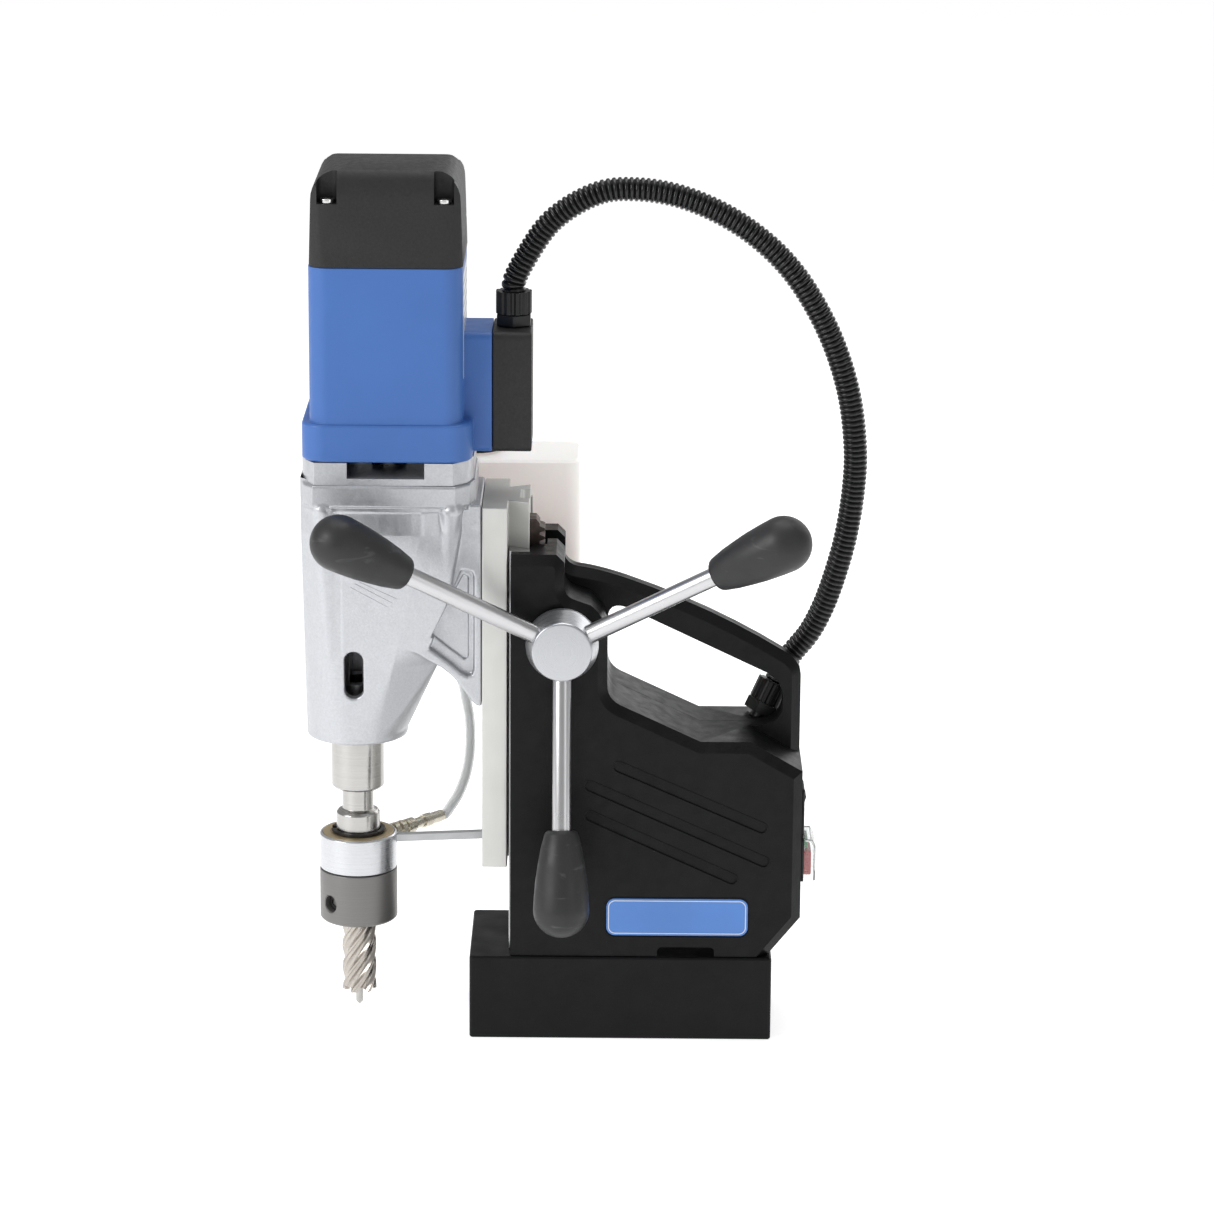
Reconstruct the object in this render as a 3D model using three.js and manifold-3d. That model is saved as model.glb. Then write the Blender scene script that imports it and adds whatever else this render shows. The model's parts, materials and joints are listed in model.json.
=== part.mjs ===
// A magnetic drill press, built from its separate pieces.
// Millimetres, +Z up. The origin is the centre of the magnet's underside. The drill stands at -X,
// the switches face +X and the feed capstan is on the -Y side.
import * as THREE from 'three';
import { ConvexGeometry } from 'three/addons/geometries/ConvexGeometry.js';
import { mergeVertices } from 'three/addons/utils/BufferGeometryUtils.js';
import loadManifold from 'manifold-3d';

const manifold = await loadManifold();
manifold.setup();
const { Manifold, Mesh: SolidMesh } = manifold;

// ---------------------------------------------------------------- driving dimensions

const GAP = 0.3; // space kept between pieces that touch

const BASE = { length: 165, width: 80, height: 47 };

const FRAME = {
  left: -60.3, // face that looks at the carriage
  right: 97.8,
  near: -38,
  far: 39.5,
  seam: 8, // the plane where the two halves meet
  bottom: BASE.height + GAP,
  top: 271.8,
  floor: 168.2, // flat part of the top of the body, under the handle
  chamfer: 5,
  farChamfer: 3,
};
const HANDLE = { near: -1, far: 17 };

const SPINDLE_X = -144.8;
const MOTOR_X = -126.8;

const PLATE = { left: -75.7, right: -62.1, halfWidth: 35, bottom: 96.8, top: 297.5 };
const DOVETAIL = { right: -50.7, rootHalf: 15.2, tipHalf: 21.4 };

const RACK_MODULE = 1.5;
const PINION_TEETH = 15;
const FEED = { x: -32.5, z: 225, shaftRadius: 7 };
const RACK_PITCH_X = FEED.x - (RACK_MODULE * PINION_TEETH) / 2;

// Reduction gears, module 1: armature -> countershaft -> spindle.
const GEARS = { armature: 9, counterLarge: 31, counterSmall: 10, spindle: 38 };
const FIRST_CENTRES = (GEARS.armature + GEARS.counterLarge) / 2;
const SECOND_CENTRES = (GEARS.counterSmall + GEARS.spindle) / 2;

const CASTING = { halfDepth: 44, left: -173.1, right: -79.2, bottom: 162.5, top: 311, collar: 299.5 };
const COVER = { bottom: CASTING.top + GAP, top: 323.4 };
const MOTOR = { left: -167.2, right: -85.8, halfDepth: 42, bottom: COVER.top + GAP, top: 427.6 };
const TERMINAL = { bottom: 325, top: 390, halfWidth: 22, seam: -70.5, right: -49.7 };
const CAP = { left: -165.4, right: -86.8, halfDepth: 41, bottom: MOTOR.top + GAP, top: 479.6 };

const RING = { bottom: 85.8, top: 106, radius: 21.2 };
const HOLDER = { bottom: 56.3, top: RING.bottom - GAP, radius: 21.3 };
const CUTTER = { bottom: 14.2, radius: 9.2, bore: 5.8 };

const TANK = { left: -100, right: -24, near: 46.3, far: 96, bottom: 195, top: 305, wall: 2 };
const OUTLET = { x: -90, y: 71, bottom: 178 };
const FILLER = { x: -82, y: 71, radius: 14 };

const SWITCH_Y = -14;

// ---------------------------------------------------------------- looks

const LOOK = {
  blackPaint: [0x1b1b1c, 0.55, 0.1],
  satinBlack: [0x202022, 0.5, 0.05],
  blackPlastic: [0x19191a, 0.45, 0],
  grip: [0x2a2a2b, 0.6, 0],
  charcoal: [0x333335, 0.6, 0],
  blue: [0x4a7dc4, 0.4, 0.05],
  castSilver: [0xc3c6ca, 0.45, 0.6],
  plateSilver: [0xcfcfca, 0.4, 0.5],
  steel: [0xb5b4b0, 0.25, 1],
  brightSteel: [0xdadada, 0.15, 1],
  darkSteel: [0x5b5a58, 0.45, 0.9],
  rackSteel: [0x554743, 0.5, 0.8],
  aluminium: [0xc9cbcf, 0.3, 0.9],
  bronze: [0xa98d5c, 0.4, 0.8],
  nickel: [0xc6beaa, 0.3, 0.9],
  copper: [0xa5583a, 0.4, 0.9],
  resin: [0x2c2a26, 0.7, 0],
  board: [0x2c6b45, 0.6, 0],
  red: [0xc6262b, 0.35, 0],
  green: [0x3c9a55, 0.35, 0],
  clear: [0xeef2f2, 0.1, 0, 0.4],
  tank: [0xf1f1ee, 0.35, 0, 0.7],
  hose: [0xe9edee, 0.2, 0, 0.5],
};

// ---------------------------------------------------------------- solids

function toSolid(shaped) {
  const bare = new THREE.BufferGeometry();
  bare.setAttribute('position', shaped.getAttribute('position').clone());
  if (shaped.index) bare.setIndex(shaped.index.clone());
  const merged = mergeVertices(bare, 1e-4);
  const corners = merged.index.array;
  const triangles = [];
  for (let i = 0; i < corners.length; i += 3) {
    const [a, b, c] = [corners[i], corners[i + 1], corners[i + 2]];
    if (a !== b && b !== c && c !== a) triangles.push(a, b, c);
  }
  const vertProperties = new Float32Array(merged.getAttribute('position').array);
  if (signedVolume(vertProperties, triangles) < 0) triangles.reverse();
  const triVerts = new Uint32Array(triangles);
  return new Manifold(new SolidMesh({ numProp: 3, vertProperties, triVerts }));
}

function signedVolume(xyz, triangles) {
  const point = (i) => new THREE.Vector3().fromArray(xyz, 3 * i);
  let sum = 0;
  for (let i = 0; i < triangles.length; i += 3) {
    const [a, b, c] = [0, 1, 2].map((k) => point(triangles[i + k]));
    sum += a.dot(b.cross(c));
  }
  return sum;
}

function toGeometry(solid) {
  const { vertProperties, triVerts } = solid.getMesh();
  const shaped = new THREE.BufferGeometry();
  shaped.setAttribute('position', new THREE.BufferAttribute(vertProperties, 3));
  shaped.setIndex(new THREE.BufferAttribute(triVerts, 1));
  return shaped;
}

// Straight steps in each curve of an outline: few where it is hidden, more where it shows.
const COARSE = 3;
const FINE = 6;

const union = (...solids) => Manifold.union(solids.flat());
const cut = (body, ...tools) => Manifold.difference([body, ...tools.flat()]);

function box(x0, x1, y0, y1, z0, z1) {
  const block = new THREE.BoxGeometry(x1 - x0, y1 - y0, z1 - z0);
  block.translate((x0 + x1) / 2, (y0 + y1) / 2, (z0 + z1) / 2);
  return toSolid(block);
}

function extruded(shape, depth, bevel, curveSegments) {
  const options = { depth, bevelEnabled: false, curveSegments };
  if (bevel > 0) {
    Object.assign(options, {
      depth: depth - 2 * bevel,
      bevelEnabled: true,
      bevelThickness: bevel,
      bevelSize: bevel,
      bevelOffset: -bevel,
      bevelSegments: 1,
    });
  }
  const prism = new THREE.ExtrudeGeometry(shape, options);
  if (bevel > 0) prism.translate(0, 0, bevel);
  return prism;
}

// An outline in X and Y that runs from z0 up to z1.
function prismUp(shape, z0, z1, bevel = 0, curve = COARSE) {
  return toSolid(extruded(shape, z1 - z0, bevel, curve).translate(0, 0, z0));
}

// An outline in X and Z that runs from y0 back to y1.
function prismBack(shape, y0, y1, bevel = 0, curve = COARSE) {
  return toSolid(extruded(shape, y1 - y0, bevel, curve).rotateX(Math.PI / 2).translate(0, y1, 0));
}

// An outline in Y and Z that runs from x0 to x1.
function prismRight(shape, x0, x1, bevel = 0, curve = COARSE) {
  const prism = extruded(shape, x1 - x0, bevel, curve);
  return toSolid(prism.rotateX(Math.PI / 2).rotateZ(Math.PI / 2).translate(x0, 0, 0));
}

function outline(...points) {
  return new THREE.Shape(points.map(([a, b]) => new THREE.Vector2(a, b)));
}

function roundedBox(a0, a1, b0, b1, radius) {
  const shape = new THREE.Shape();
  shape.moveTo(a0 + radius, b0);
  shape.lineTo(a1 - radius, b0);
  shape.absarc(a1 - radius, b0 + radius, radius, -Math.PI / 2, 0);
  shape.lineTo(a1, b1 - radius);
  shape.absarc(a1 - radius, b1 - radius, radius, 0, Math.PI / 2);
  shape.lineTo(a0 + radius, b1);
  shape.absarc(a0 + radius, b1 - radius, radius, Math.PI / 2, Math.PI);
  shape.lineTo(a0, b0 + radius);
  shape.absarc(a0 + radius, b0 + radius, radius, Math.PI, 1.5 * Math.PI);
  return shape;
}

function slotShape(from, to, radius) {
  const angle = Math.atan2(to[1] - from[1], to[0] - from[0]);
  const shape = new THREE.Shape();
  shape.absarc(to[0], to[1], radius, angle - Math.PI / 2, angle + Math.PI / 2);
  shape.absarc(from[0], from[1], radius, angle + Math.PI / 2, angle + 1.5 * Math.PI);
  shape.closePath();
  return shape;
}

// A turned piece: its profile is a list of [radius, distance] along the line from one point
// towards another, and it starts and ends on the axis or closes on itself.
function turned(profile, from, towards, sides = 24) {
  const points = profile.map(([radius, along]) => new THREE.Vector2(Math.max(radius, 0), along));
  const lathe = new THREE.LatheGeometry(points, sides);
  const start = new THREE.Vector3(...from);
  const direction = new THREE.Vector3(...towards).sub(start).normalize();
  const turn = new THREE.Quaternion().setFromUnitVectors(new THREE.Vector3(0, 1, 0), direction);
  lathe.applyQuaternion(turn).translate(...from);
  return toSolid(lathe);
}

// The same about an upright axis, with heights in place of distances.
function upright(profile, x, y, sides = 24) {
  return turned(profile, [x, y, 0], [x, y, 1], sides);
}

function rod(radius, from, to, sides = 20) {
  const length = new THREE.Vector3(...to).distanceTo(new THREE.Vector3(...from));
  return turned([[0, 0], [radius, 0], [radius, length], [0, length]], from, to, sides);
}

function ringSolid(inner, outer, from, to, sides = 24) {
  const length = new THREE.Vector3(...to).distanceTo(new THREE.Vector3(...from));
  const wall = [[inner, 0], [outer, 0], [outer, length], [inner, length], [inner, 0]];
  return turned(wall, from, to, sides);
}

function tubeAlong(points, radius, sides, steps) {
  const path = new THREE.CatmullRomCurve3(points.map((p) => new THREE.Vector3(...p)), false, 'centripetal');
  const section = [];
  for (let i = 0; i < sides; i += 1) {
    const angle = (2 * Math.PI * i) / sides;
    section.push([radius * Math.cos(angle), radius * Math.sin(angle)]);
  }
  const options = { extrudePath: path, steps, bevelEnabled: false };
  return toSolid(new THREE.ExtrudeGeometry(outline(...section), options));
}

// The outline of a spur gear with involute teeth. A tooth points along the phase angle.
function gearShape({ teeth, module, pressure, phase, cx, cy, backlash = 0.16, flankSteps = 1 }) {
  const pitchRadius = (teeth * module) / 2;
  const baseRadius = pitchRadius * Math.cos(pressure);
  const tipRadius = pitchRadius + 0.8 * module;
  const rootRadius = pitchRadius - 1.05 * module;
  const involute = (radius) => {
    const roll = Math.sqrt(Math.max((radius / baseRadius) ** 2 - 1, 0));
    return roll - Math.atan(roll);
  };
  const halfAtPitch = Math.PI / (2 * teeth) - backlash / (2 * pitchRadius);
  const halfAt = (radius) => halfAtPitch + involute(pitchRadius) - involute(Math.max(radius, baseRadius));
  const flankStart = Math.max(baseRadius, rootRadius);
  const radii = [];
  for (let k = 0; k <= flankSteps; k += 1) {
    radii.push(flankStart + ((tipRadius - flankStart) * k) / flankSteps);
  }
  if (rootRadius < flankStart) radii.unshift(rootRadius);
  const points = [];
  const place = (radius, angle) => {
    points.push([cx + radius * Math.cos(angle), cy + radius * Math.sin(angle)]);
  };
  for (let tooth = 0; tooth < teeth; tooth += 1) {
    const middle = phase + (2 * Math.PI * tooth) / teeth;
    radii.forEach((radius) => place(radius, middle - halfAt(radius)));
    [...radii].reverse().forEach((radius) => place(radius, middle + halfAt(radius)));
  }
  return outline(...points);
}

// ---------------------------------------------------------------- magnet base

const COIL_SLOT = { outer: [60, 29, 14], inner: [46, 15, 6], depth: 30 };

function loop(halfLength, halfWidth, radius, z0, z1) {
  return prismUp(roundedBox(-halfLength, halfLength, -halfWidth, halfWidth, radius), z0, z1);
}

function magnetBase() {
  const [length, width] = [BASE.length / 2, BASE.width / 2];
  const block = prismUp(roundedBox(-length, length, -width, width, 2), 0, BASE.height, 0.8);
  const [outer, inner] = [COIL_SLOT.outer, COIL_SLOT.inner];
  const slot = cut(loop(...outer, -1, COIL_SLOT.depth), loop(...inner, -2, COIL_SLOT.depth + 1));
  return cut(block, slot);
}

function coilRing(z0, z1) {
  const shrink = ([length, width, radius]) => [length - GAP, width - GAP, radius - GAP];
  const grow = ([length, width, radius]) => [length + GAP, width + GAP, radius + GAP];
  return cut(loop(...shrink(COIL_SLOT.outer), z0, z1), loop(...grow(COIL_SLOT.inner), z0 - 1, z1 + 1));
}

// ---------------------------------------------------------------- frame

const BOSS_RADIUS = 24.2; // round of the column beside the capstan
const BOSS_END = THREE.MathUtils.degToRad(52);
const SHOULDER = [FRAME.right, 151.9];
const LEFT_WALL = -8.3; // left side of the opening under the handle

// The thick part: column and body, seen from the capstan side. It runs past the left and the
// bottom, where it is trimmed flat.
function thickOutline() {
  const shape = new THREE.Shape();
  shape.moveTo(FRAME.left - 10, FRAME.bottom - 10);
  shape.lineTo(72.3, FRAME.bottom - 10);
  shape.lineTo(FRAME.right, 68.7);
  shape.lineTo(...SHOULDER);
  shape.lineTo(69.4, FRAME.floor);
  shape.lineTo(42.5, FRAME.floor);
  shape.lineTo(-1, 188.4);
  shape.quadraticCurveTo(LEFT_WALL, 192, LEFT_WALL, 200);
  shape.lineTo(LEFT_WALL, FEED.z);
  shape.absarc(FEED.x, FEED.z, BOSS_RADIUS, 0, BOSS_END);
  shape.lineTo(-25.5, 246.8);
  shape.quadraticCurveTo(-31.8, 248.6, -31.8, 255.5);
  shape.lineTo(-31.8, 267.6);
  shape.lineTo(-36, FRAME.top);
  shape.lineTo(FRAME.left - 10, FRAME.top);
  return shape;
}

// The thin part: the handle with its post, filled in down to the body.
function thinOutline() {
  const shape = new THREE.Shape();
  shape.moveTo(-45, 120);
  shape.lineTo(FRAME.right - 0.4, 120);
  shape.lineTo(FRAME.right - 0.4, 196);
  shape.quadraticCurveTo(97, 204, 88.5, 209);
  shape.quadraticCurveTo(49, 233.5, 1.6, 249.8);
  shape.quadraticCurveTo(-14, 255, -24, 256.2);
  shape.quadraticCurveTo(-30, 257.2, -31.9, 262);
  shape.lineTo(-45, 262);
  return shape;
}

function openingOutline() {
  const shape = new THREE.Shape();
  shape.moveTo(LEFT_WALL, 200);
  shape.quadraticCurveTo(LEFT_WALL, 192, -1, 188.4);
  shape.lineTo(42.5, FRAME.floor);
  shape.lineTo(74, FRAME.floor);
  shape.quadraticCurveTo(87.8, 168.6, 87.8, 181);
  shape.quadraticCurveTo(87.8, 194, 80, 197.6);
  shape.lineTo(2, 234.5);
  shape.quadraticCurveTo(LEFT_WALL, 238, LEFT_WALL, 228);
  return shape;
}

const CAVITY = outline(
  [-38, 56], [82, 56], [92.6, 70.5], [92.6, 149], [68, 163], [41.6, 163],
  [-5, 184.5], [-13, 192], [-13, 198], [-38, 198],
);
const GROOVES = [
  [[-1.6, 155.2], [76, 121.2]],
  [[-17.2, 144.3], [77.4, 101.9]],
  [[-17.1, 127.3], [60.2, 92]],
];
const STRAP_SLOT = { left: 20, right: 51, top: 52.6 };
const NAMEPLATE = { left: -8.2, right: 69.5, bottom: 58.9, top: 80.6, depth: 1, radius: 5 };
const RAIL_SLOT = { right: -50.1, halfWidth: 27.3 };
const RACK_SLOT = { right: -41.2, halfWidth: 9.4 };
const PINION_ROOM = { radius: 13.4, halfWidth: 8.6 };

function frameBlock() {
  const thickness = FRAME.far - FRAME.near;
  const nearSide = prismBack(thickOutline(), FRAME.near, FRAME.far + 20, FRAME.chamfer, FINE);
  const farSide = prismBack(thickOutline(), FRAME.near - 20, FRAME.far, FRAME.farChamfer, FINE);
  const thick = nearSide.intersect(farSide);
  const opening = prismBack(openingOutline(), HANDLE.near - 1, HANDLE.far + 1, 0, FINE);
  const handle = cut(prismBack(thinOutline(), HANDLE.near, HANDLE.far, FRAME.chamfer, FINE), opening);
  const extent = box(FRAME.left, 120, FRAME.near - 1, FRAME.near + thickness + 1, FRAME.bottom, 300);
  return union(thick, handle).intersect(extent);
}

function frameCuts() {
  const { left, bottom, near, far, top } = FRAME;
  const slot = (x0, { right, halfWidth }) => box(x0, right, -halfWidth, halfWidth, bottom - 1, 300);
  const railSlot = slot(left - 1, RAIL_SLOT);
  const rackSlot = slot(-51, RACK_SLOT);
  const room = PINION_ROOM;
  const pinion = rod(room.radius, [FEED.x, -room.halfWidth, FEED.z], [FEED.x, room.halfWidth, FEED.z], 20);
  const shaftBore = rod(10.3, [FEED.x, near - 1, FEED.z], [FEED.x, far + 1, FEED.z], 20);
  const throat = prismUp(outline([-51, -18], [-42, 3], [-20, 3], [-20, 22], [-51, 22]), top - 9, top + 1);
  const cavity = prismBack(CAVITY, near + 5, far - 5);
  const strap = roundedBox(STRAP_SLOT.left, STRAP_SLOT.right, bottom - 6, STRAP_SLOT.top, 2.5);
  const strapSlot = prismBack(strap, near - 1, far + 1);
  return [railSlot, rackSlot, pinion, shaftBore, throat, cavity, strapSlot];
}

function faceCuts() {
  const grooves = GROOVES.map(([from, to]) => (
    prismBack(slotShape(from, to, 2.8), FRAME.near - 1, FRAME.near + 0.8)));
  const { left, right, bottom, top, radius, depth } = NAMEPLATE;
  const plate = roundedBox(left, right, bottom, top, radius);
  return [...grooves, prismBack(plate, FRAME.near - 1, FRAME.near + depth)];
}

const ROCKER = { bottom: 112.4, top: 138.6, halfWidth: 10 };
const MOTOR_SWITCH = { bottom: 86.6, top: 111.6, halfWidth: 13 };

function switchCuts() {
  return [ROCKER, MOTOR_SWITCH].map((place) => switchBlock(place, 1.5, 14));
}

// The body of a switch behind its lip, set in from the lip's outline and reaching in from the face.
function switchBlock({ bottom, top, halfWidth }, inset, reach) {
  const half = halfWidth - inset;
  return box(
    FRAME.right - reach, FRAME.right + 1, SWITCH_Y - half, SWITCH_Y + half, bottom + inset, top - inset);
}

const HEX_LENGTH = 6.5;
const NUT_LENGTH = 12;
const GLAND_LENGTH = HEX_LENGTH + NUT_LENGTH + 2 * GAP;
const LOWER_GLAND = { base: [76.5, 24.5, FRAME.floor], direction: [0.42, 0.12, 0.9] };
const MAINS_GLAND = { x: 70, z: 84, radius: 6 };

function glandCuts() {
  const along = (distance) => pointAlong(LOWER_GLAND.base, LOWER_GLAND.direction, distance);
  const conduitHole = rod(5.6, along(-14), along(6), 20);
  const relief = rod(11, along(0), along(GLAND_LENGTH), 16);
  const { x, z, radius } = MAINS_GLAND;
  const mainsHole = rod(radius + GAP, [x, FRAME.far - 8, z], [x, FRAME.far + 1, z], 20);
  return [conduitHole, relief, mainsHole];
}

function pointAlong(from, direction, distance) {
  const step = new THREE.Vector3(...direction).normalize().multiplyScalar(distance);
  return new THREE.Vector3(...from).add(step).toArray();
}

function frameHalves() {
  const whole = cut(frameBlock(), frameCuts());
  const nearHalf = cut(whole.trimByPlane([0, -1, 0], -FRAME.seam + GAP / 2), faceCuts(), switchCuts());
  const farHalf = cut(whole.trimByPlane([0, 1, 0], FRAME.seam + GAP / 2), glandCuts());
  return [nearHalf, farHalf];
}

// Half the width of the dovetail at a distance along X.
function dovetailHalf(x) {
  const root = PLATE.right - 1;
  const share = (x - root) / (DOVETAIL.right - root);
  return DOVETAIL.rootHalf + share * (DOVETAIL.tipHalf - DOVETAIL.rootHalf);
}

function guideRail(side) {
  const [left, right, slack] = [FRAME.left - 1, RAIL_SLOT.right - GAP, 0.35];
  const nearRail = outline(
    [left, -RAIL_SLOT.halfWidth + GAP],
    [right, -RAIL_SLOT.halfWidth + GAP],
    [right, -DOVETAIL.tipHalf - slack],
    [DOVETAIL.right, -DOVETAIL.tipHalf - slack],
    [left, -dovetailHalf(left) - slack],
  );
  const rail = prismUp(nearRail, FRAME.bottom + GAP, FRAME.top + 0.4);
  return side < 0 ? rail : rail.mirror([0, 1, 0]);
}

function shaftBush(y0, y1) {
  const { x, z, shaftRadius } = FEED;
  return ringSolid(shaftRadius + 0.3, 10, [x, y0, z], [x, y1, z], 20);
}

function nameplate() {
  const { left, right, bottom, top, radius, depth } = NAMEPLATE;
  const shape = roundedBox(left + GAP, right - GAP, bottom + GAP, top - GAP, radius - GAP);
  return prismBack(shape, FRAME.near + 0.1, FRAME.near + depth - GAP);
}

function controlBoard() {
  const board = box(8, 74, 14, 15.6, 66, 142);
  const parts = [
    box(14, 34, 15, 30, 72, 92), box(44, 66, 15, 26, 78, 100), box(16, 28, 15, 27, 108, 132),
    box(40, 68, 15, 24, 116, 136),
  ];
  return union(board, parts);
}

// ---------------------------------------------------------------- switches

function rockerBezel() {
  const { right } = FRAME;
  const { bottom, top, halfWidth } = ROCKER;
  const lip = prismRight(
    roundedBox(SWITCH_Y - halfWidth, SWITCH_Y + halfWidth, bottom, top, 1.5), right + GAP, right + 1.8);
  const well = box(right - 9, right + 5, SWITCH_Y - 6.6, SWITCH_Y + 6.6, bottom + 3.4, top - 3.4);
  return cut(union(lip, switchBlock(ROCKER, 2, 12)), well);
}

function magnetRocker() {
  const { right } = FRAME;
  const middle = (ROCKER.bottom + ROCKER.top) / 2;
  const half = (ROCKER.top - ROCKER.bottom) / 2 - 4.2;
  const shape = outline(
    [right - 4, middle - 5], [right + 1.2, middle - half], [right + 1.6, middle - half + 1],
    [right + 0.9, middle - 1], [right + 0.9, middle + 1], [right + 2.9, middle + half - 1],
    [right + 2.4, middle + half], [right - 4, middle + 5],
  );
  return prismBack(shape, SWITCH_Y - 6, SWITCH_Y + 6);
}

function motorSwitchBox() {
  const { right } = FRAME;
  const { bottom, top, halfWidth } = MOTOR_SWITCH;
  const lip = prismRight(
    roundedBox(SWITCH_Y - halfWidth, SWITCH_Y + halfWidth, bottom, top, 2), right + GAP, right + 1.8);
  const stopWell = box(right - 8, right + 5, SWITCH_Y - 9.2, SWITCH_Y + 9.2, 89.4, 103.6);
  const startWell = box(right - 8, right + 5, SWITCH_Y - 9.2, SWITCH_Y + 9.2, 104.6, 109.4);
  return cut(union(lip, switchBlock(MOTOR_SWITCH, 2, 12)), stopWell, startWell);
}

function pushButton(z0, z1, proud) {
  const shape = roundedBox(SWITCH_Y - 8.9, SWITCH_Y + 8.9, z0, z1, 1);
  return prismRight(shape, FRAME.right - 3.5, FRAME.right + proud);
}

// A clear, flexible hood over the buttons, open below so that water drains out.
function switchHood() {
  const { right } = FRAME;
  const { bottom, top, halfWidth } = MOTOR_SWITCH;
  const side = outline(
    [right + 2.1, top - 0.5], [right + 2.1, bottom + 1], [right + 8.2, bottom + 1],
    [right + 8.2, top - 4], [right + 6, top - 0.5],
  );
  const shell = prismBack(side, SWITCH_Y - halfWidth + 0.5, SWITCH_Y + halfWidth - 0.5);
  const inside = outline(
    [right + 1, top - 1.7], [right + 1, bottom], [right + 7.2, bottom], [right + 7.2, top - 4.4],
    [right + 5.6, top - 1.7],
  );
  return cut(shell, prismBack(inside, SWITCH_Y - halfWidth + 1.6, SWITCH_Y + halfWidth - 1.6));
}

// ---------------------------------------------------------------- glands and conduit

const CONDUIT_RADIUS = 6.5;

function glandBody(base, direction, stem) {
  const along = (distance) => pointAlong(base, direction, distance);
  const hex = rod(10.4, along(GAP), along(HEX_LENGTH), 6);
  const thread = rod(5.3, along(-stem), along(1), 20);
  return cut(union(hex, thread), rod(3.6, along(-stem - 1), along(HEX_LENGTH + 1), 16));
}

function glandNut(base, direction) {
  const ribs = 12;
  const points = [];
  for (let i = 0; i < ribs; i += 1) {
    for (const [part, radius] of [[0.08, 8.7], [0.24, 9.7], [0.64, 9.7], [0.8, 8.7]]) {
      const angle = (2 * Math.PI * (i + part)) / ribs;
      points.push([radius * Math.cos(angle), radius * Math.sin(angle)]);
    }
  }
  const body = extruded(outline(...points), NUT_LENGTH, 0, COARSE);
  const axis = new THREE.Vector3(...direction).normalize();
  body.applyQuaternion(new THREE.Quaternion().setFromUnitVectors(new THREE.Vector3(0, 0, 1), axis));
  body.translate(...pointAlong(base, direction, HEX_LENGTH + GAP));
  const along = (distance) => pointAlong(base, direction, distance);
  return cut(toSolid(body), rod(3.6, along(0), along(HEX_LENGTH + NUT_LENGTH + 2), 16));
}

const UPPER_GLAND = { base: [-59.7, 0, TERMINAL.top], direction: [0, 0, 1] };
const CONDUIT_ROUTE = [
  pointAlong(LOWER_GLAND.base, LOWER_GLAND.direction, GLAND_LENGTH),
  pointAlong(LOWER_GLAND.base, LOWER_GLAND.direction, GLAND_LENGTH + 5),
  [93.2, 28.5, 201], [102.3, 26.5, 213.5], [110, 24, 230], [117.6, 20, 255.5], [121.6, 18, 274],
  [124.6, 15, 299.5], [124.8, 12, 321], [119.9, 9, 354.6], [106.8, 6, 390.5], [85.7, 4, 423.1],
  [59.7, 3, 445.2], [30.4, 2, 459], [5.3, 1, 463.4], [-14.4, 0, 461.6], [-38.8, 0, 447],
  [-54, 0, 425.4],
  pointAlong(UPPER_GLAND.base, UPPER_GLAND.direction, GLAND_LENGTH + 4),
  pointAlong(UPPER_GLAND.base, UPPER_GLAND.direction, GLAND_LENGTH),
];

function mainsGland() {
  const { x, z, radius } = MAINS_GLAND;
  const { far } = FRAME;
  const body = union(
    rod(9, [x, far + GAP, z], [x, far + 5, z], 6),
    rod(radius, [x, far - 7, z], [x, far + 1, z], 20),
    rod(7.6, [x, far + 5, z], [x, far + 14, z], 20),
  );
  return cut(body, rod(3.8, [x, far - 8, z], [x, far + 15, z], 16));
}

// ---------------------------------------------------------------- carriage

const RACK = { left: -55.2, halfWidth: 7, bottom: 98.5, top: 285 };
const PITCH = Math.PI * RACK_MODULE;

function carriagePlate() {
  const { left, right, halfWidth, bottom, top } = PLATE;
  const plate = prismUp(roundedBox(left, right, -halfWidth, halfWidth, 0.8), bottom, top);
  const { right: tip, rootHalf, tipHalf } = DOVETAIL;
  const tailShape = outline([right - 1, -rootHalf], [tip, -tipHalf], [tip, tipHalf], [right - 1, rootHalf]);
  const tail = prismUp(tailShape, bottom, top);
  const groove = prismUp(roundedBox(RACK.left - GAP, -45, -10.6, 10.6, 2), bottom - 1, top + 1);
  const [, rodY, rodZ] = STOP_ROD.to;
  const rodHole = rod(2.9, [left - 1, rodY, rodZ], [left + 6, rodY, rodZ], 12);
  return cut(union(plate, tail), groove, rodHole);
}

function feedRack() {
  const tip = RACK_PITCH_X + 0.8 * RACK_MODULE;
  const root = RACK_PITCH_X - 1.05 * RACK_MODULE;
  const halfTooth = (x) => PITCH / 4 - 0.06 - (x - RACK_PITCH_X) * Math.tan(Math.PI / 9);
  const teeth = [];
  const first = Math.ceil((RACK.bottom + 4 - FEED.z) / PITCH - 0.5);
  const last = Math.floor((RACK.top - 4 - FEED.z) / PITCH - 0.5);
  for (let k = first; k <= last; k += 1) {
    const middle = FEED.z + (k + 0.5) * PITCH;
    teeth.push([root, middle - halfTooth(root)], [tip, middle - halfTooth(tip)]);
    teeth.push([tip, middle + halfTooth(tip)], [root, middle + halfTooth(root)]);
  }
  const shape = outline(
    [RACK.left, RACK.bottom], [root, RACK.bottom], ...teeth, [root, RACK.top - 2.5],
    [root - 2, RACK.top], [RACK.left, RACK.top],
  );
  return prismBack(shape, -RACK.halfWidth, RACK.halfWidth);
}

// ---------------------------------------------------------------- gearbox

const COUNTER_X = (SECOND_CENTRES ** 2 - FIRST_CENTRES ** 2) / (2 * (MOTOR_X - SPINDLE_X))
  + (SPINDLE_X + MOTOR_X) / 2;
const COUNTER_Y = Math.sqrt(FIRST_CENTRES ** 2 - (COUNTER_X - MOTOR_X) ** 2);

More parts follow.
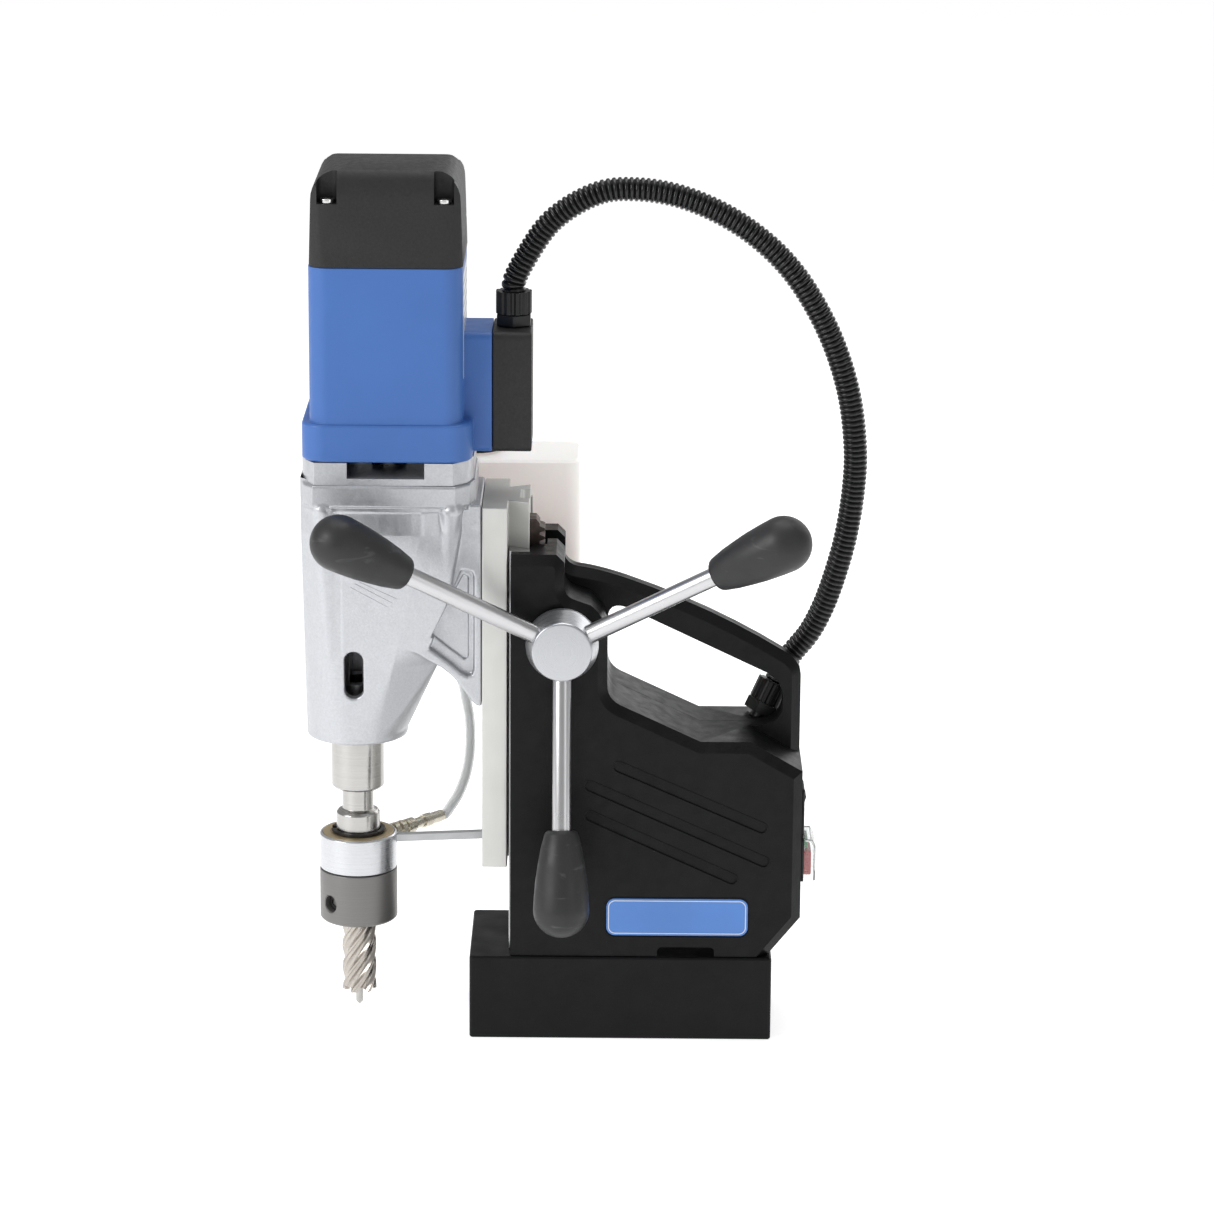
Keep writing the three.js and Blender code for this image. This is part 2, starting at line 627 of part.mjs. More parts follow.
// The collar has cut corners, longer on the side of the carriage.
function collarOutline(inset) {
  const { left, right, halfDepth } = CASTING;
  const [x0, x1, y] = [left + inset, right - inset, halfDepth - inset];
  const front = [
    [x0, -y + 20], [x0 + 2.6, -y + 8], [x0 + 7.5, -y], [x1 - 10.5, -y], [x1 - 3, -y + 8], [x1, -y + 20],
  ];
  const rear = front.map(([x, depth]) => [x, -depth]).reverse();
  return outline(...front, ...rear);
}

const HIP = { x: -99.4, halfWidth: 15, z: 208 }; // where the sloping right side meets the web

// The tapering body: the convex envelope of a top rectangle, the hip and a round foot.
function taperedBody(inset, foot, footRadius, rimSteps) {
  const { left, right, halfDepth } = CASTING;
  const [half, corner] = [halfDepth - 2 - inset, 9];
  const [x0, x1] = [left + 0.6 + inset, right - 8 - inset];
  const points = [];
  for (const z of [284, CASTING.top - 2]) {
    for (const side of [-1, 1]) {
      points.push(new THREE.Vector3(x0, side * (half - corner), z));
      points.push(new THREE.Vector3(x0 + corner, side * half, z));
      points.push(new THREE.Vector3(x1 - corner - 8, side * half, z));
      points.push(new THREE.Vector3(x1, side * (half - corner - 6), z));
    }
  }
  const rim = (radius, z) => {
    for (let i = 0; i < rimSteps; i += 1) {
      const angle = (2 * Math.PI * i) / rimSteps;
      points.push(new THREE.Vector3(SPINDLE_X + radius * Math.cos(angle), radius * Math.sin(angle), z));
    }
  };
  rim(footRadius, foot + 4);
  rim(footRadius - 3, foot);
  for (const side of [-1, 1]) {
    points.push(new THREE.Vector3(HIP.x - inset, side * (HIP.halfWidth - inset), HIP.z));
  }
  return toSolid(new ConvexGeometry(points));
}

const SCREWS = [[-161.7, -38.6], [-91, -38.6], [-161.7, 38.6], [-91, 38.6]];

function webOutline() {
  const shape = new THREE.Shape();
  shape.moveTo(-125, PLATE.top);
  shape.lineTo(-125, 225);
  shape.lineTo(-104, 212);
  shape.quadraticCurveTo(-88, 203, -80, 189);
  shape.lineTo(-77.5, 187);
  shape.lineTo(PLATE.left - GAP, 187);
  shape.lineTo(PLATE.left - GAP, PLATE.top);
  return shape;
}

function pocketOutline() {
  const shape = new THREE.Shape();
  shape.moveTo(-80.1, 208.5);
  shape.lineTo(-80.1, 259);
  shape.quadraticCurveTo(-80.1, 262.5, -83.5, 262.5);
  shape.lineTo(-87, 262.5);
  shape.lineTo(-104, 219);
  shape.quadraticCurveTo(-95, 213.5, -86.5, 206);
  shape.quadraticCurveTo(-80.1, 201, -80.1, 208.5);
  return shape;
}

function gearboxCasting() {
  const { bottom, top, collar: collarFoot } = CASTING;
  const body = taperedBody(0, bottom, 27.5, 24);
  const collar = prismUp(collarOutline(0), collarFoot, top, 1.2);
  const web = prismBack(webOutline(), -33, 33);
  const ribs = SCREWS.map(([x, y]) => (
    turned([[0, 0], [1.2, 0], [5.4, 60], [5.4, 95.5], [0, 95.5]],
      [x + Math.sign(SPINDLE_X - x) * 7, y * 0.66, 200], [x, y, 295.5], 10)));
  const lug = prismUp(roundedBox(-92, -69.7, -10, 10, 3), PLATE.top + 0.8, PLATE.top + 6);
  const solidBody = union(body, collar, web, ribs, lug);
  const inside = taperedBody(5.5, 190, 20, 10).intersect(box(-200, 0, -60, 60, 182, top + 1));
  const mouth = prismUp(collarOutline(7), 298, top + 1);
  const spindleBore = rod(15.2, [SPINDLE_X, 0, bottom - 1], [SPINDLE_X, 0, 230], 28);
  const bearingSeat = rod(20.4, [SPINDLE_X, 0, 168.5], [SPINDLE_X, 0, 178.5], 24);
  const drift = prismBack(slotShape([SPINDLE_X, 195.2], [SPINDLE_X, 212], 5), -60, 0);
  const pocket = prismBack(pocketOutline(), -34, -26);
  return cut(solidBody, inside, mouth, spindleBore, bearingSeat, drift, pocket, pocket.mirror([0, 1, 0]));
}

// A flat cover with a rim, and the motor's cooling air leaves through its two windows.
function gearboxCover() {
  const { bottom, top } = COVER;
  const rim = prismUp(collarOutline(1.2), bottom, top);
  const inside = prismUp(collarOutline(6), bottom + 3.2, top + 1);
  const window = box(-147.1, -106, -60, 60, bottom + 3.6, top + 1);
  const bearingHole = rod(9.8, [MOTOR_X, 0, bottom - 1], [MOTOR_X, 0, bottom + 6], 20);
  return cut(rim, inside, window, bearingHole);
}

// ---------------------------------------------------------------- motor

function motorShape(inset, radius) {
  const { left, right, halfDepth } = MOTOR;
  return roundedBox(left + inset, right - inset, -halfDepth + inset, halfDepth - inset, radius);
}

const TERMINAL_SHAPE = roundedBox(
  -TERMINAL.halfWidth, TERMINAL.halfWidth, TERMINAL.bottom, TERMINAL.top, 4);

function motorHousing() {
  const { bottom, top } = MOTOR;
  const barrel = prismUp(motorShape(0, 11), bottom, top, 0, FINE);
  const foot = prismUp(roundedBox(-171.4, -80.8, -43.5, 43.5, 13), bottom, 344, 1, FINE);
  const terminal = prismRight(TERMINAL_SHAPE, MOTOR.right - 10, TERMINAL.seam - GAP);
  const bore = prismUp(motorShape(4, 10), bottom - 1, top + 1);
  const wireWell = box(MOTOR.right - 12, TERMINAL.seam + 1, -16, 16, 332, 382);
  return cut(union(barrel, foot, terminal), bore, wireWell);
}

function terminalCover() {
  const { seam, right, bottom, top, halfWidth } = TERMINAL;
  const shell = prismRight(TERMINAL_SHAPE, seam, right);
  const inside = box(seam - 1, right - 3, -halfWidth + 3.5, halfWidth - 3.5, bottom + 4, top - 5);
  const [x, y] = UPPER_GLAND.base;
  return cut(shell, inside, rod(5.6, [x, y, top - 8], [x, y, top + 1], 20));
}

const CAP_SCREWS = [[-156.6, -36.5], [-95.3, -36.5]];
const POCKET = { bottom: 461.3, halfWidth: 5.3, back: 5 };
const SIDE_SLOT = { y: 35.4, halfWidth: 0.9, bottom: 442, top: 466 };

// The cap is crowned: a tall prism across the machine, met by one that is seen from the side.
function motorCap() {
  const { left, right, halfDepth, bottom, top } = CAP;
  const front = new THREE.Shape();
  front.moveTo(left - 1.2, bottom);
  front.lineTo(right + 1.2, bottom);
  front.lineTo(right, 463);
  front.quadraticCurveTo(right, 474, right - 9.5, top - 2.2);
  front.quadraticCurveTo(MOTOR_X, top + 1.6, left + 11, top - 2);
  front.quadraticCurveTo(left, 474, left, 463);
  const side = new THREE.Shape();
  side.moveTo(-halfDepth - 1, bottom - 1);
  side.lineTo(halfDepth + 1, bottom - 1);
  side.lineTo(halfDepth, 458);
  side.quadraticCurveTo(halfDepth, 476, halfDepth - 16, top - 2);
  side.lineTo(-halfDepth + 13, top + 0.6);
  side.quadraticCurveTo(-halfDepth + 1, top, -halfDepth, 466);
  const corners = roundedBox(left - 2, right + 2, -halfDepth - 1, halfDepth + 1, 11);
  const crown = prismBack(front, -60, 60, 0, FINE).intersect(prismRight(side, -200, -60, 0, FINE));
  const shell = crown.intersect(prismUp(corners, bottom, top + 4, 0, FINE));
  const well = (inset, ceiling) => {
    const plan = roundedBox(left + 4, right - 4, inset - halfDepth, halfDepth - inset, 8);
    return prismUp(plan, bottom - 1, ceiling);
  };
  const pockets = [];
  const slots = [];
  for (const away of [-1, 1]) {
    for (const [x, y] of CAP_SCREWS) {
      const depths = [away * (-y - POCKET.back), away * (-y + 10)].sort((a, b) => a - b);
      const plan = roundedBox(x - POCKET.halfWidth, x + POCKET.halfWidth, ...depths, 3);
      pockets.push(prismUp(plan, POCKET.bottom, top + 20));
    }
    const [y, half] = [away * SIDE_SLOT.y, SIDE_SLOT.halfWidth];
    slots.push(box(right - 4, right + 5, y - half, y + half, SIDE_SLOT.bottom, SIDE_SLOT.top));
  }
  return cut(shell, well(11, 472), well(4, 437), pockets, slots);
}

function statorSolid() {
  return ringSolid(22, 36, [MOTOR_X, 0, 350], [MOTOR_X, 0, 404], 20);
}

function motorBearing() {
  return ringSolid(4.3, 9.5, [MOTOR_X, 0, COVER.bottom + GAP], [MOTOR_X, 0, COVER.bottom + 5], 20);
}

function armature() {
  const phase = Math.atan2(COUNTER_Y, COUNTER_X - MOTOR_X);
  const pinion = prismUp(gearShape({
    teeth: GEARS.armature, module: 1, pressure: THREE.MathUtils.degToRad(25), phase, cx: MOTOR_X, cy: 0,
  }), 286, 304);
  const shaft = upright([
    [0, 303], [4, 303], [4, 352], [20.8, 352], [20.8, 402], [12, 408], [12, 421], [4, 421], [4, 432],
    [0, 432],
  ], MOTOR_X, 0, 18);
  return union(pinion, shaft);
}

function coolingFan() {
  const hub = ringSolid(4.3, 9, [MOTOR_X, 0, 330], [MOTOR_X, 0, 344], 16);
  const disc = ringSolid(6, 33, [MOTOR_X, 0, 341.5], [MOTOR_X, 0, 343.5], 20);
  const blades = [];
  for (let i = 0; i < 8; i += 1) {
    blades.push(box(12, 32, -1, 1, 330, 342.5).rotate([0, 0, 45 * i]).translate([MOTOR_X, 0, 0]));
  }
  return union(hub, disc, blades);
}

function countershaft() {
  const pressure = THREE.MathUtils.degToRad(25);
  const towardsMotor = Math.atan2(-COUNTER_Y, MOTOR_X - COUNTER_X);
  const towardsSpindle = Math.atan2(-COUNTER_Y, SPINDLE_X - COUNTER_X);
  const place = { module: 1, pressure, cx: COUNTER_X, cy: COUNTER_Y };
  const gear = (teeth, phase) => gearShape({ ...place, teeth, phase });
  return union(
    prismUp(gear(GEARS.counterLarge, towardsMotor + Math.PI / GEARS.counterLarge), 290, 300),
    prismUp(gear(GEARS.counterSmall, towardsSpindle), 268, 290.5),
    upright([[0, 262], [3, 262], [3, 304], [0, 304]], COUNTER_X, COUNTER_Y, 12),
  );
}

// ---------------------------------------------------------------- spindle and tool

const SPINDLE_FOOT = 131.9;

function spindleSolid() {
  const away = Math.atan2(COUNTER_Y, COUNTER_X - SPINDLE_X);
  const gear = prismUp(gearShape({
    teeth: GEARS.spindle, module: 1, pressure: THREE.MathUtils.degToRad(25),
    phase: away + Math.PI / GEARS.spindle, cx: SPINDLE_X, cy: 0,
  }), 271, 283);
  const shaft = upright([
    [0, SPINDLE_FOOT], [13.2, SPINDLE_FOOT], [14.4, SPINDLE_FOOT + 1.2], [14.4, 222], [9, 222],
    [9, 288], [0, 288],
  ], SPINDLE_X, 0, 28);
  const taper = [[0, SPINDLE_FOOT - 1], [9.4, SPINDLE_FOOT - 1], [8.7, 196], [0, 196]];
  const socket = upright(taper, SPINDLE_X, 0, 16);
  const driftSlot = box(SPINDLE_X - 3.5, SPINDLE_X + 3.5, -20, 20, 193, 215);
  return cut(union(shaft, gear), socket, driftSlot);
}

function spindleBearing() {
  return ringSolid(14.8, 20, [SPINDLE_X, 0, 168.8], [SPINDLE_X, 0, 178.2], 20);
}

const SET_SCREW_ANGLES = [225, 135].map(THREE.MathUtils.degToRad);
const SET_SCREW_HEIGHT = 68;

function radial(angle, radius, z) {
  return [SPINDLE_X + radius * Math.cos(angle), radius * Math.sin(angle), z];
}

function arborHolder() {
  const { bottom, top, radius } = HOLDER;
  const body = upright([
    [0, bottom], [radius - 1.2, bottom], [radius, bottom + 1.2], [radius, top], [12, top],
    [12, 115.2], [8.55, 120.4], [8.55, SPINDLE_FOOT], [8.7, SPINDLE_FOOT], [8, 192], [0, 192],
  ], SPINDLE_X, 0, 32);
  const shankBore = rod(9.8, [SPINDLE_X, 0, bottom - 1], [SPINDLE_X, 0, 82], 24);
  const pinBore = rod(2.4, [SPINDLE_X, 0, 80], [SPINDLE_X, 0, 124], 10);
  const threads = SET_SCREW_ANGLES.map((angle) => (
    rod(4.6, radial(angle, 8, SET_SCREW_HEIGHT), radial(angle, radius + 2, SET_SCREW_HEIGHT), 14)));
  return cut(body, shankBore, pinBore, threads);
}

function setScrew(angle) {
  const screw = rod(4.2, radial(angle, 10, SET_SCREW_HEIGHT), radial(angle, 18, SET_SCREW_HEIGHT), 14);
  return cut(screw, rod(2.3, radial(angle, 14, SET_SCREW_HEIGHT), radial(angle, 19, SET_SCREW_HEIGHT), 6));
}

function retainingRing() {
  const whole = ringSolid(12.5, 14.8, [SPINDLE_X, 0, RING.top + 0.5], [SPINDLE_X, 0, RING.top + 1.9], 24);
  return cut(whole, box(SPINDLE_X - 20, SPINDLE_X - 10, -2, 2, RING.top, RING.top + 3));
}

// The fluted body: a section with six teeth that turns as it rises.
const FLUTES = 6;
const TWIST_PER_MM = THREE.MathUtils.degToRad(4.7);

function annularCutter() {
  const { bottom, radius, bore } = CUTTER;
  const points = [];
  for (let i = 0; i < FLUTES; i += 1) {
    const start = (2 * Math.PI * i) / FLUTES;
    for (const [turn, r] of [[0, radius], [0.36, radius - 0.5], [0.46, 7.5], [0.7, 7.1], [0.94, 7.9]]) {
      const angle = start + turn;
      points.push([r * Math.cos(angle), r * Math.sin(angle)]);
    }
  }
  const top = HOLDER.bottom + 3;
  const options = { depth: top - bottom, steps: 10, bevelEnabled: false };
  const body = new THREE.ExtrudeGeometry(outline(...points), options);
  const position = body.getAttribute('position');
  for (let i = 0; i < position.count; i += 1) {
    const [x, y, angle] = [position.getX(i), position.getY(i), TWIST_PER_MM * position.getZ(i)];
    const [cos, sin] = [Math.cos(angle), Math.sin(angle)];
    position.setXY(i, x * cos - y * sin, x * sin + y * cos);
  }
  body.translate(SPINDLE_X, 0, bottom);
  const shank = rod(9.4, [SPINDLE_X, 0, HOLDER.bottom - 1], [SPINDLE_X, 0, 81.5], 20);
  const core = rod(bore, [SPINDLE_X, 0, bottom - 1], [SPINDLE_X, 0, 50], 18);
  const pinBore = rod(2.4, [SPINDLE_X, 0, 49], [SPINDLE_X, 0, 83], 10);
  const flats = SET_SCREW_ANGLES.map((angle) => (
    rod(5, radial(angle, 9, SET_SCREW_HEIGHT), radial(angle, 12, SET_SCREW_HEIGHT), 10)));
  const gullets = [];
  for (let i = 0; i < FLUTES; i += 1) {
    const notch = box(0, 12, -0.2, 2.6, -4, 2.4).rotate([0, -14, (360 * i) / FLUTES + 24]);
    gullets.push(notch.translate([SPINDLE_X, 0, bottom]));
  }
  return cut(union(toSolid(body), shank), core, pinBore, flats, gullets);
}

const PIN = { tip: 4.8, top: 86, radius: 2 };

function pilotPin() {
  return upright([
    [0, PIN.tip], [0.4, PIN.tip + 0.2], [PIN.radius, PIN.tip + 1.9], [PIN.radius, PIN.top], [0, PIN.top],
  ], SPINDLE_X, 0, 12);
}

// ---------------------------------------------------------------- coolant

const STOP_ROD = { from: [-124.6, 0.8, 102], to: [-73.2, 8, 102] };
const COUPLING = { angle: THREE.MathUtils.degToRad(49), height: 99 };

function coolingRing() {
  const { bottom, top, radius } = RING;
  const body = upright([
    [12.4, bottom], [radius, bottom], [radius, top - 0.6], [radius - 0.6, top], [12.4, top], [12.4, bottom],
  ], SPINDLE_X, 0, 32);
  const seat = ringSolid(14.8, 19.8, [SPINDLE_X, 0, top - 3], [SPINDLE_X, 0, top + 1], 24);
  const rodHole = rod(2.4, [-126, 0.6, 102], [-120, 1.5, 102], 12);
  const port = rod(2.9, couplingPoint(16), couplingPoint(23), 14);
  return cut(body, seat, rodHole, port);
}

function ringSeal() {
  return ringSolid(15.1, 19.5, [SPINDLE_X, 0, RING.top - 2.7], [SPINDLE_X, 0, RING.top + 0.2], 24);
}

function couplingPoint(radius) {
  return radial(COUPLING.angle, radius, COUPLING.height);
}

const COUPLING_END = 66.5;

function hoseCoupling() {
  const profile = [[0, 0], [2.6, 0], [2.6, 4.4]];
  const steps = [
    [4.4, 8, 4.4], [8, 10, 3.4], [10, 13, 4.7], [13, 15, 3.6], [15, 18, 4.7], [18, 20, 3.6],
    [20, 26, 4.4], [26, 34, 3], [34, 40, 3.9], [40, COUPLING_END - 17, 3.3],
  ];
  for (const [start, end, radius] of steps) {
    profile.push([radius, start], [radius, end]);
  }
  profile.push([0, COUPLING_END - 17]);
  const body = turned(profile, couplingPoint(17), couplingPoint(40), 12);
  return cut(body, rod(1.5, couplingPoint(16), couplingPoint(COUPLING_END + 1), 8));
}

const HOSE_RADIUS = 2.9;
const HOSE_ROUTE = [
  couplingPoint(COUPLING_END + GAP), couplingPoint(COUPLING_END + 3), [-96, 54.6, 103], [-92, 57, 109],
  [-88.4, 59.5, 117.5], [-86, 62, 128], [-85.2, 65.5, 140], [-86, 68.5, 152], [-88.3, 70.5, 164],
  [OUTLET.x, OUTLET.y, OUTLET.bottom - 4], [OUTLET.x, OUTLET.y, OUTLET.bottom - GAP],
];

function coolantTank() {
  const { left, right, near, far, bottom, top, wall } = TANK;
  const shell = prismUp(roundedBox(left, right, near, far, 8), bottom, top, 1.5);
  const { x, y, radius } = FILLER;
  const neck = rod(radius - 3, [x, y, top - 3], [x, y, top + 9], 16);
  const block = roundedBox(OUTLET.x - 6.5, OUTLET.x + 6.5, OUTLET.y - 6.5, OUTLET.y + 6.5, 1);
  const outlet = prismUp(block, OUTLET.bottom + 4, bottom + 1);
  const spigot = rod(4, [OUTLET.x, OUTLET.y, OUTLET.bottom], [OUTLET.x, OUTLET.y, OUTLET.bottom + 5], 12);
  const hollow = roundedBox(left + wall, right - wall, near + wall, far - wall, 6);
  const inside = prismUp(hollow, bottom + wall, top - wall);
  const mouth = rod(radius - 5, [x, y, top - 5], [x, y, top + 10], 16);
  const drain = rod(1.6, [OUTLET.x, OUTLET.y, OUTLET.bottom - 1], [OUTLET.x, OUTLET.y, bottom + 4], 8);
  const tapBore = rod(3.5, [OUTLET.x, OUTLET.y - 8, 188], [OUTLET.x, OUTLET.y + 8, 188], 14);
  return cut(union(shell, neck, outlet, spigot), inside, mouth, drain, tapBore);
}

function tankCap() {
  const { x, y, radius } = FILLER;
  const { top } = TANK;
  return upright([
    [0, top + 12], [radius - 2.6, top + 12], [radius - 2.6, top + 1], [radius, top + 1],
    [radius, top + 13], [radius - 1, top + 14], [0, top + 14],
  ], x, y, 20);
}

function coolantTap() {
  const { x, y } = OUTLET;
  const plug = rod(3.2, [x, y - 7.5, 188], [x, y + 9.5, 188], 14);
  const port = rod(1.5, [x, y, 180], [x, y, 196], 8);
  const lever = box(x - 2, x + 2, y + 9, y + 12.5, 170, 190);
  return union(cut(plug, port), lever);
}

// A Z-shaped bracket: one flange on the side of the plate, the other against the tank.
function tankBracket() {
  const { left, right, halfWidth, top } = PLATE;
  const flange = box(left + 0.5, right - 0.8, halfWidth + GAP, halfWidth + 3.3, top - 62, top - 3);
  const web = box(left + 0.5, left + 4, halfWidth + 3, TANK.near - GAP - 1, top - 58, top - 12);
  const shelf = box(left + 0.5, -50, TANK.near - GAP - 3, TANK.near - GAP, top - 58, top - 12);
  return union(flange, web, shelf);
}

// ---------------------------------------------------------------- feed capstan

const HUB = { back: FRAME.near - 0.4, face: -60, rimRadius: 19.6, faceRadius: 15.6 };
const ARM = { start: 8.5, tip: 148.3, tipY: -93, rootY: -48.5, radius: 5, gripLength: 57, gripDepth: 24 };
const ARM_ANGLES = [-89.7, 30.3, 150.3].map(THREE.MathUtils.degToRad);

function feedShaft() {
  const { x, z, shaftRadius } = FEED;
  const shaft = rod(shaftRadius, [x, -46.5, z], [x, 41, z], 20);
  const cap = rod(10.5, [x, FRAME.far + GAP, z], [x, FRAME.far + 3, z], 20);
  const pinion = prismBack(gearShape({
    teeth: PINION_TEETH, module: RACK_MODULE, pressure: Math.PI / 9, phase: Math.PI, cx: x, cy: z,
    backlash: 0.2,
  }), -7.2, 7.2);
  return union(shaft, cap, pinion);
}

function armPoint(angle, radius) {
  const slope = (ARM.tipY - ARM.rootY) / ARM.tip;
  return [FEED.x + radius * Math.cos(angle), ARM.rootY + slope * radius, FEED.z + radius * Math.sin(angle)];
}

function feedHub() {
  const { x, z, shaftRadius } = FEED;
  const { back, face, rimRadius, faceRadius } = HUB;
  const length = back - face;
  const body = turned([
    [0, 0], [rimRadius - 2.4, 0], [rimRadius - 2.4, 2.4], [rimRadius, 3], [rimRadius, 7],
    [faceRadius + 0.5, length - 0.8], [faceRadius - 0.4, length], [0, length],
  ], [x, back, z], [x, face, z], 32);
  const shaftHole = rod(shaftRadius + 0.3, [x, back + 1, z], [x, -46.8, z], 16);
  const armHoles = ARM_ANGLES.map((angle) => (
    rod(ARM.radius + 0.35, armPoint(angle, 7), armPoint(angle, 30), 14)));
  return cut(body, shaftHole, armHoles);
}

function gripStart() {
  const steepness = (ARM.rootY - ARM.tipY) / ARM.tip;
  return ARM.tip - ARM.gripLength / Math.hypot(1, steepness);
}

function feedArm(angle) {
  return rod(ARM.radius, armPoint(angle, ARM.start), armPoint(angle, gripStart() + ARM.gripDepth - 1), 16);
}

function feedGrip(angle) {
  const profile = [[0, 0], [8.4, 0], [10, 2], [12.7, 18], [14.7, 35]];
  const end = { radius: 15, centre: 42 };
  for (const degrees of [0, 28, 52, 72]) {
    const bend = THREE.MathUtils.degToRad(degrees);
    profile.push([end.radius * Math.cos(bend), end.centre + end.radius * Math.sin(bend)]);
  }
  profile.push([0, ARM.gripLength]);
  const body = turned(profile, armPoint(angle, gripStart()), armPoint(angle, ARM.tip), 22);
  const [mouth, floor] = [gripStart() - 1, gripStart() + ARM.gripDepth];
  return cut(body, rod(ARM.radius + 0.5, armPoint(angle, mouth), armPoint(angle, floor), 12));
}

// ---------------------------------------------------------------- assembly

const machine = new THREE.Group();
machine.name = 'magnetic_drill_press';

function add(name, solid, [color, roughness, metalness, opacity = 1]) {
  const material = new THREE.MeshStandardMaterial({
    color, roughness, metalness, opacity, transparent: opacity < 1,
  });
  const shaped = toGeometry(solid).toNonIndexed();
  shaped.computeVertexNormals();
  const mesh = new THREE.Mesh(shaped, material);
  mesh.name = name;
  machine.add(mesh);
}

// fixed frame
const [nearHalf, farHalf] = frameHalves();
add('magnet_base', magnetBase(), LOOK.blackPaint);
add('magnet_coil', coilRing(12, COIL_SLOT.depth - GAP), LOOK.copper);
add('magnet_potting', coilRing(0.6, 12 - GAP), LOOK.resin);
add('housing_near', nearHalf, LOOK.satinBlack);
add('housing_far', farHalf, LOOK.satinBlack);
add('guide_rail_near', guideRail(-1), LOOK.brightSteel);
add('guide_rail_far', guideRail(1), LOOK.brightSteel);
add('shaft_bush_near', shaftBush(FRAME.near + GAP, -18), LOOK.bronze);
add('shaft_bush_far', shaftBush(18, FRAME.far - GAP), LOOK.bronze);
add('control_board', controlBoard(), LOOK.board);
add('nameplate', nameplate(), LOOK.blue);
add('magnet_switch_bezel', rockerBezel(), LOOK.blackPlastic);
add('motor_switch_box', motorSwitchBox(), LOOK.blackPlastic);
add('switch_hood', switchHood(), LOOK.clear);
add('lower_gland_body', glandBody(LOWER_GLAND.base, LOWER_GLAND.direction, 10), LOOK.blackPlastic);
add('lower_gland_nut', glandNut(LOWER_GLAND.base, LOWER_GLAND.direction), LOOK.blackPlastic);
add('mains_gland', mainsGland(), LOOK.blackPlastic);
add('conduit', tubeAlong(CONDUIT_ROUTE, CONDUIT_RADIUS, 10, 24), LOOK.blackPlastic);

// carriage with gearbox and motor
add('carriage', carriagePlate(), LOOK.plateSilver);
add('feed_rack', feedRack(), LOOK.rackSteel);
add('gearbox_casting', gearboxCasting(), LOOK.castSilver);
add('gearbox_cover', gearboxCover(), LOOK.castSilver);
add('spindle_bearing', spindleBearing(), LOOK.steel);
add('motor_bearing', motorBearing(), LOOK.steel);
add('motor_housing', motorHousing(), LOOK.blue);
add('motor_cap', motorCap(), LOOK.charcoal);
add('stator', statorSolid(), LOOK.darkSteel);
add('terminal_cover', terminalCover(), LOOK.charcoal);
add('upper_gland_body', glandBody(UPPER_GLAND.base, UPPER_GLAND.direction, 6), LOOK.blackPlastic);
add('upper_gland_nut', glandNut(UPPER_GLAND.base, UPPER_GLAND.direction), LOOK.blackPlastic);
add('stop_rod', rod(2.1, STOP_ROD.from, STOP_ROD.to, 12), LOOK.darkSteel);
add('cooling_ring', coolingRing(), LOOK.aluminium);
add('ring_seal', ringSeal(), LOOK.bronze);
add('hose_coupling', hoseCoupling(), LOOK.nickel);
add('coolant_hose', tubeAlong(HOSE_ROUTE, HOSE_RADIUS, 8, 14), LOOK.hose);
add('coolant_tank', coolantTank(), LOOK.tank);
add('tank_bracket', tankBracket(), LOOK.plateSilver);
add('tank_cap', tankCap(), LOOK.blackPlastic);
add('coolant_tap', coolantTap(), LOOK.nickel);

// turning parts
add('armature', armature(), LOOK.darkSteel);
add('cooling_fan', coolingFan(), LOOK.blackPlastic);
add('countershaft', countershaft(), LOOK.steel);
add('spindle', spindleSolid(), LOOK.steel);
add('arbor_holder', arborHolder(), LOOK.darkSteel);
add('retaining_ring', retainingRing(), LOOK.darkSteel);
SET_SCREW_ANGLES.forEach((angle, i) => add(`set_screw_${i + 1}`, setScrew(angle), LOOK.darkSteel));
add('annular_cutter', annularCutter(), LOOK.steel);
add('pilot_pin', pilotPin(), LOOK.steel);

// feed
add('feed_shaft', feedShaft(), LOOK.steel);
add('feed_hub', feedHub(), LOOK.aluminium);
ARM_ANGLES.forEach((angle, i) => {
  add(`feed_arm_${i + 1}`, feedArm(angle), LOOK.brightSteel);
  add(`feed_grip_${i + 1}`, feedGrip(angle), LOOK.grip);
});

// controls
add('magnet_rocker', magnetRocker(), LOOK.blackPlastic);
add('stop_button', pushButton(89.7, 103.3, 6), LOOK.red);
add('start_button', pushButton(104.9, 109.1, 4), LOOK.green);

export default machine;
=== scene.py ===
"""A magnetic drill press: looks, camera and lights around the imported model."""
import json
import math

import bpy
import numpy as np
from mathutils import Matrix, Vector


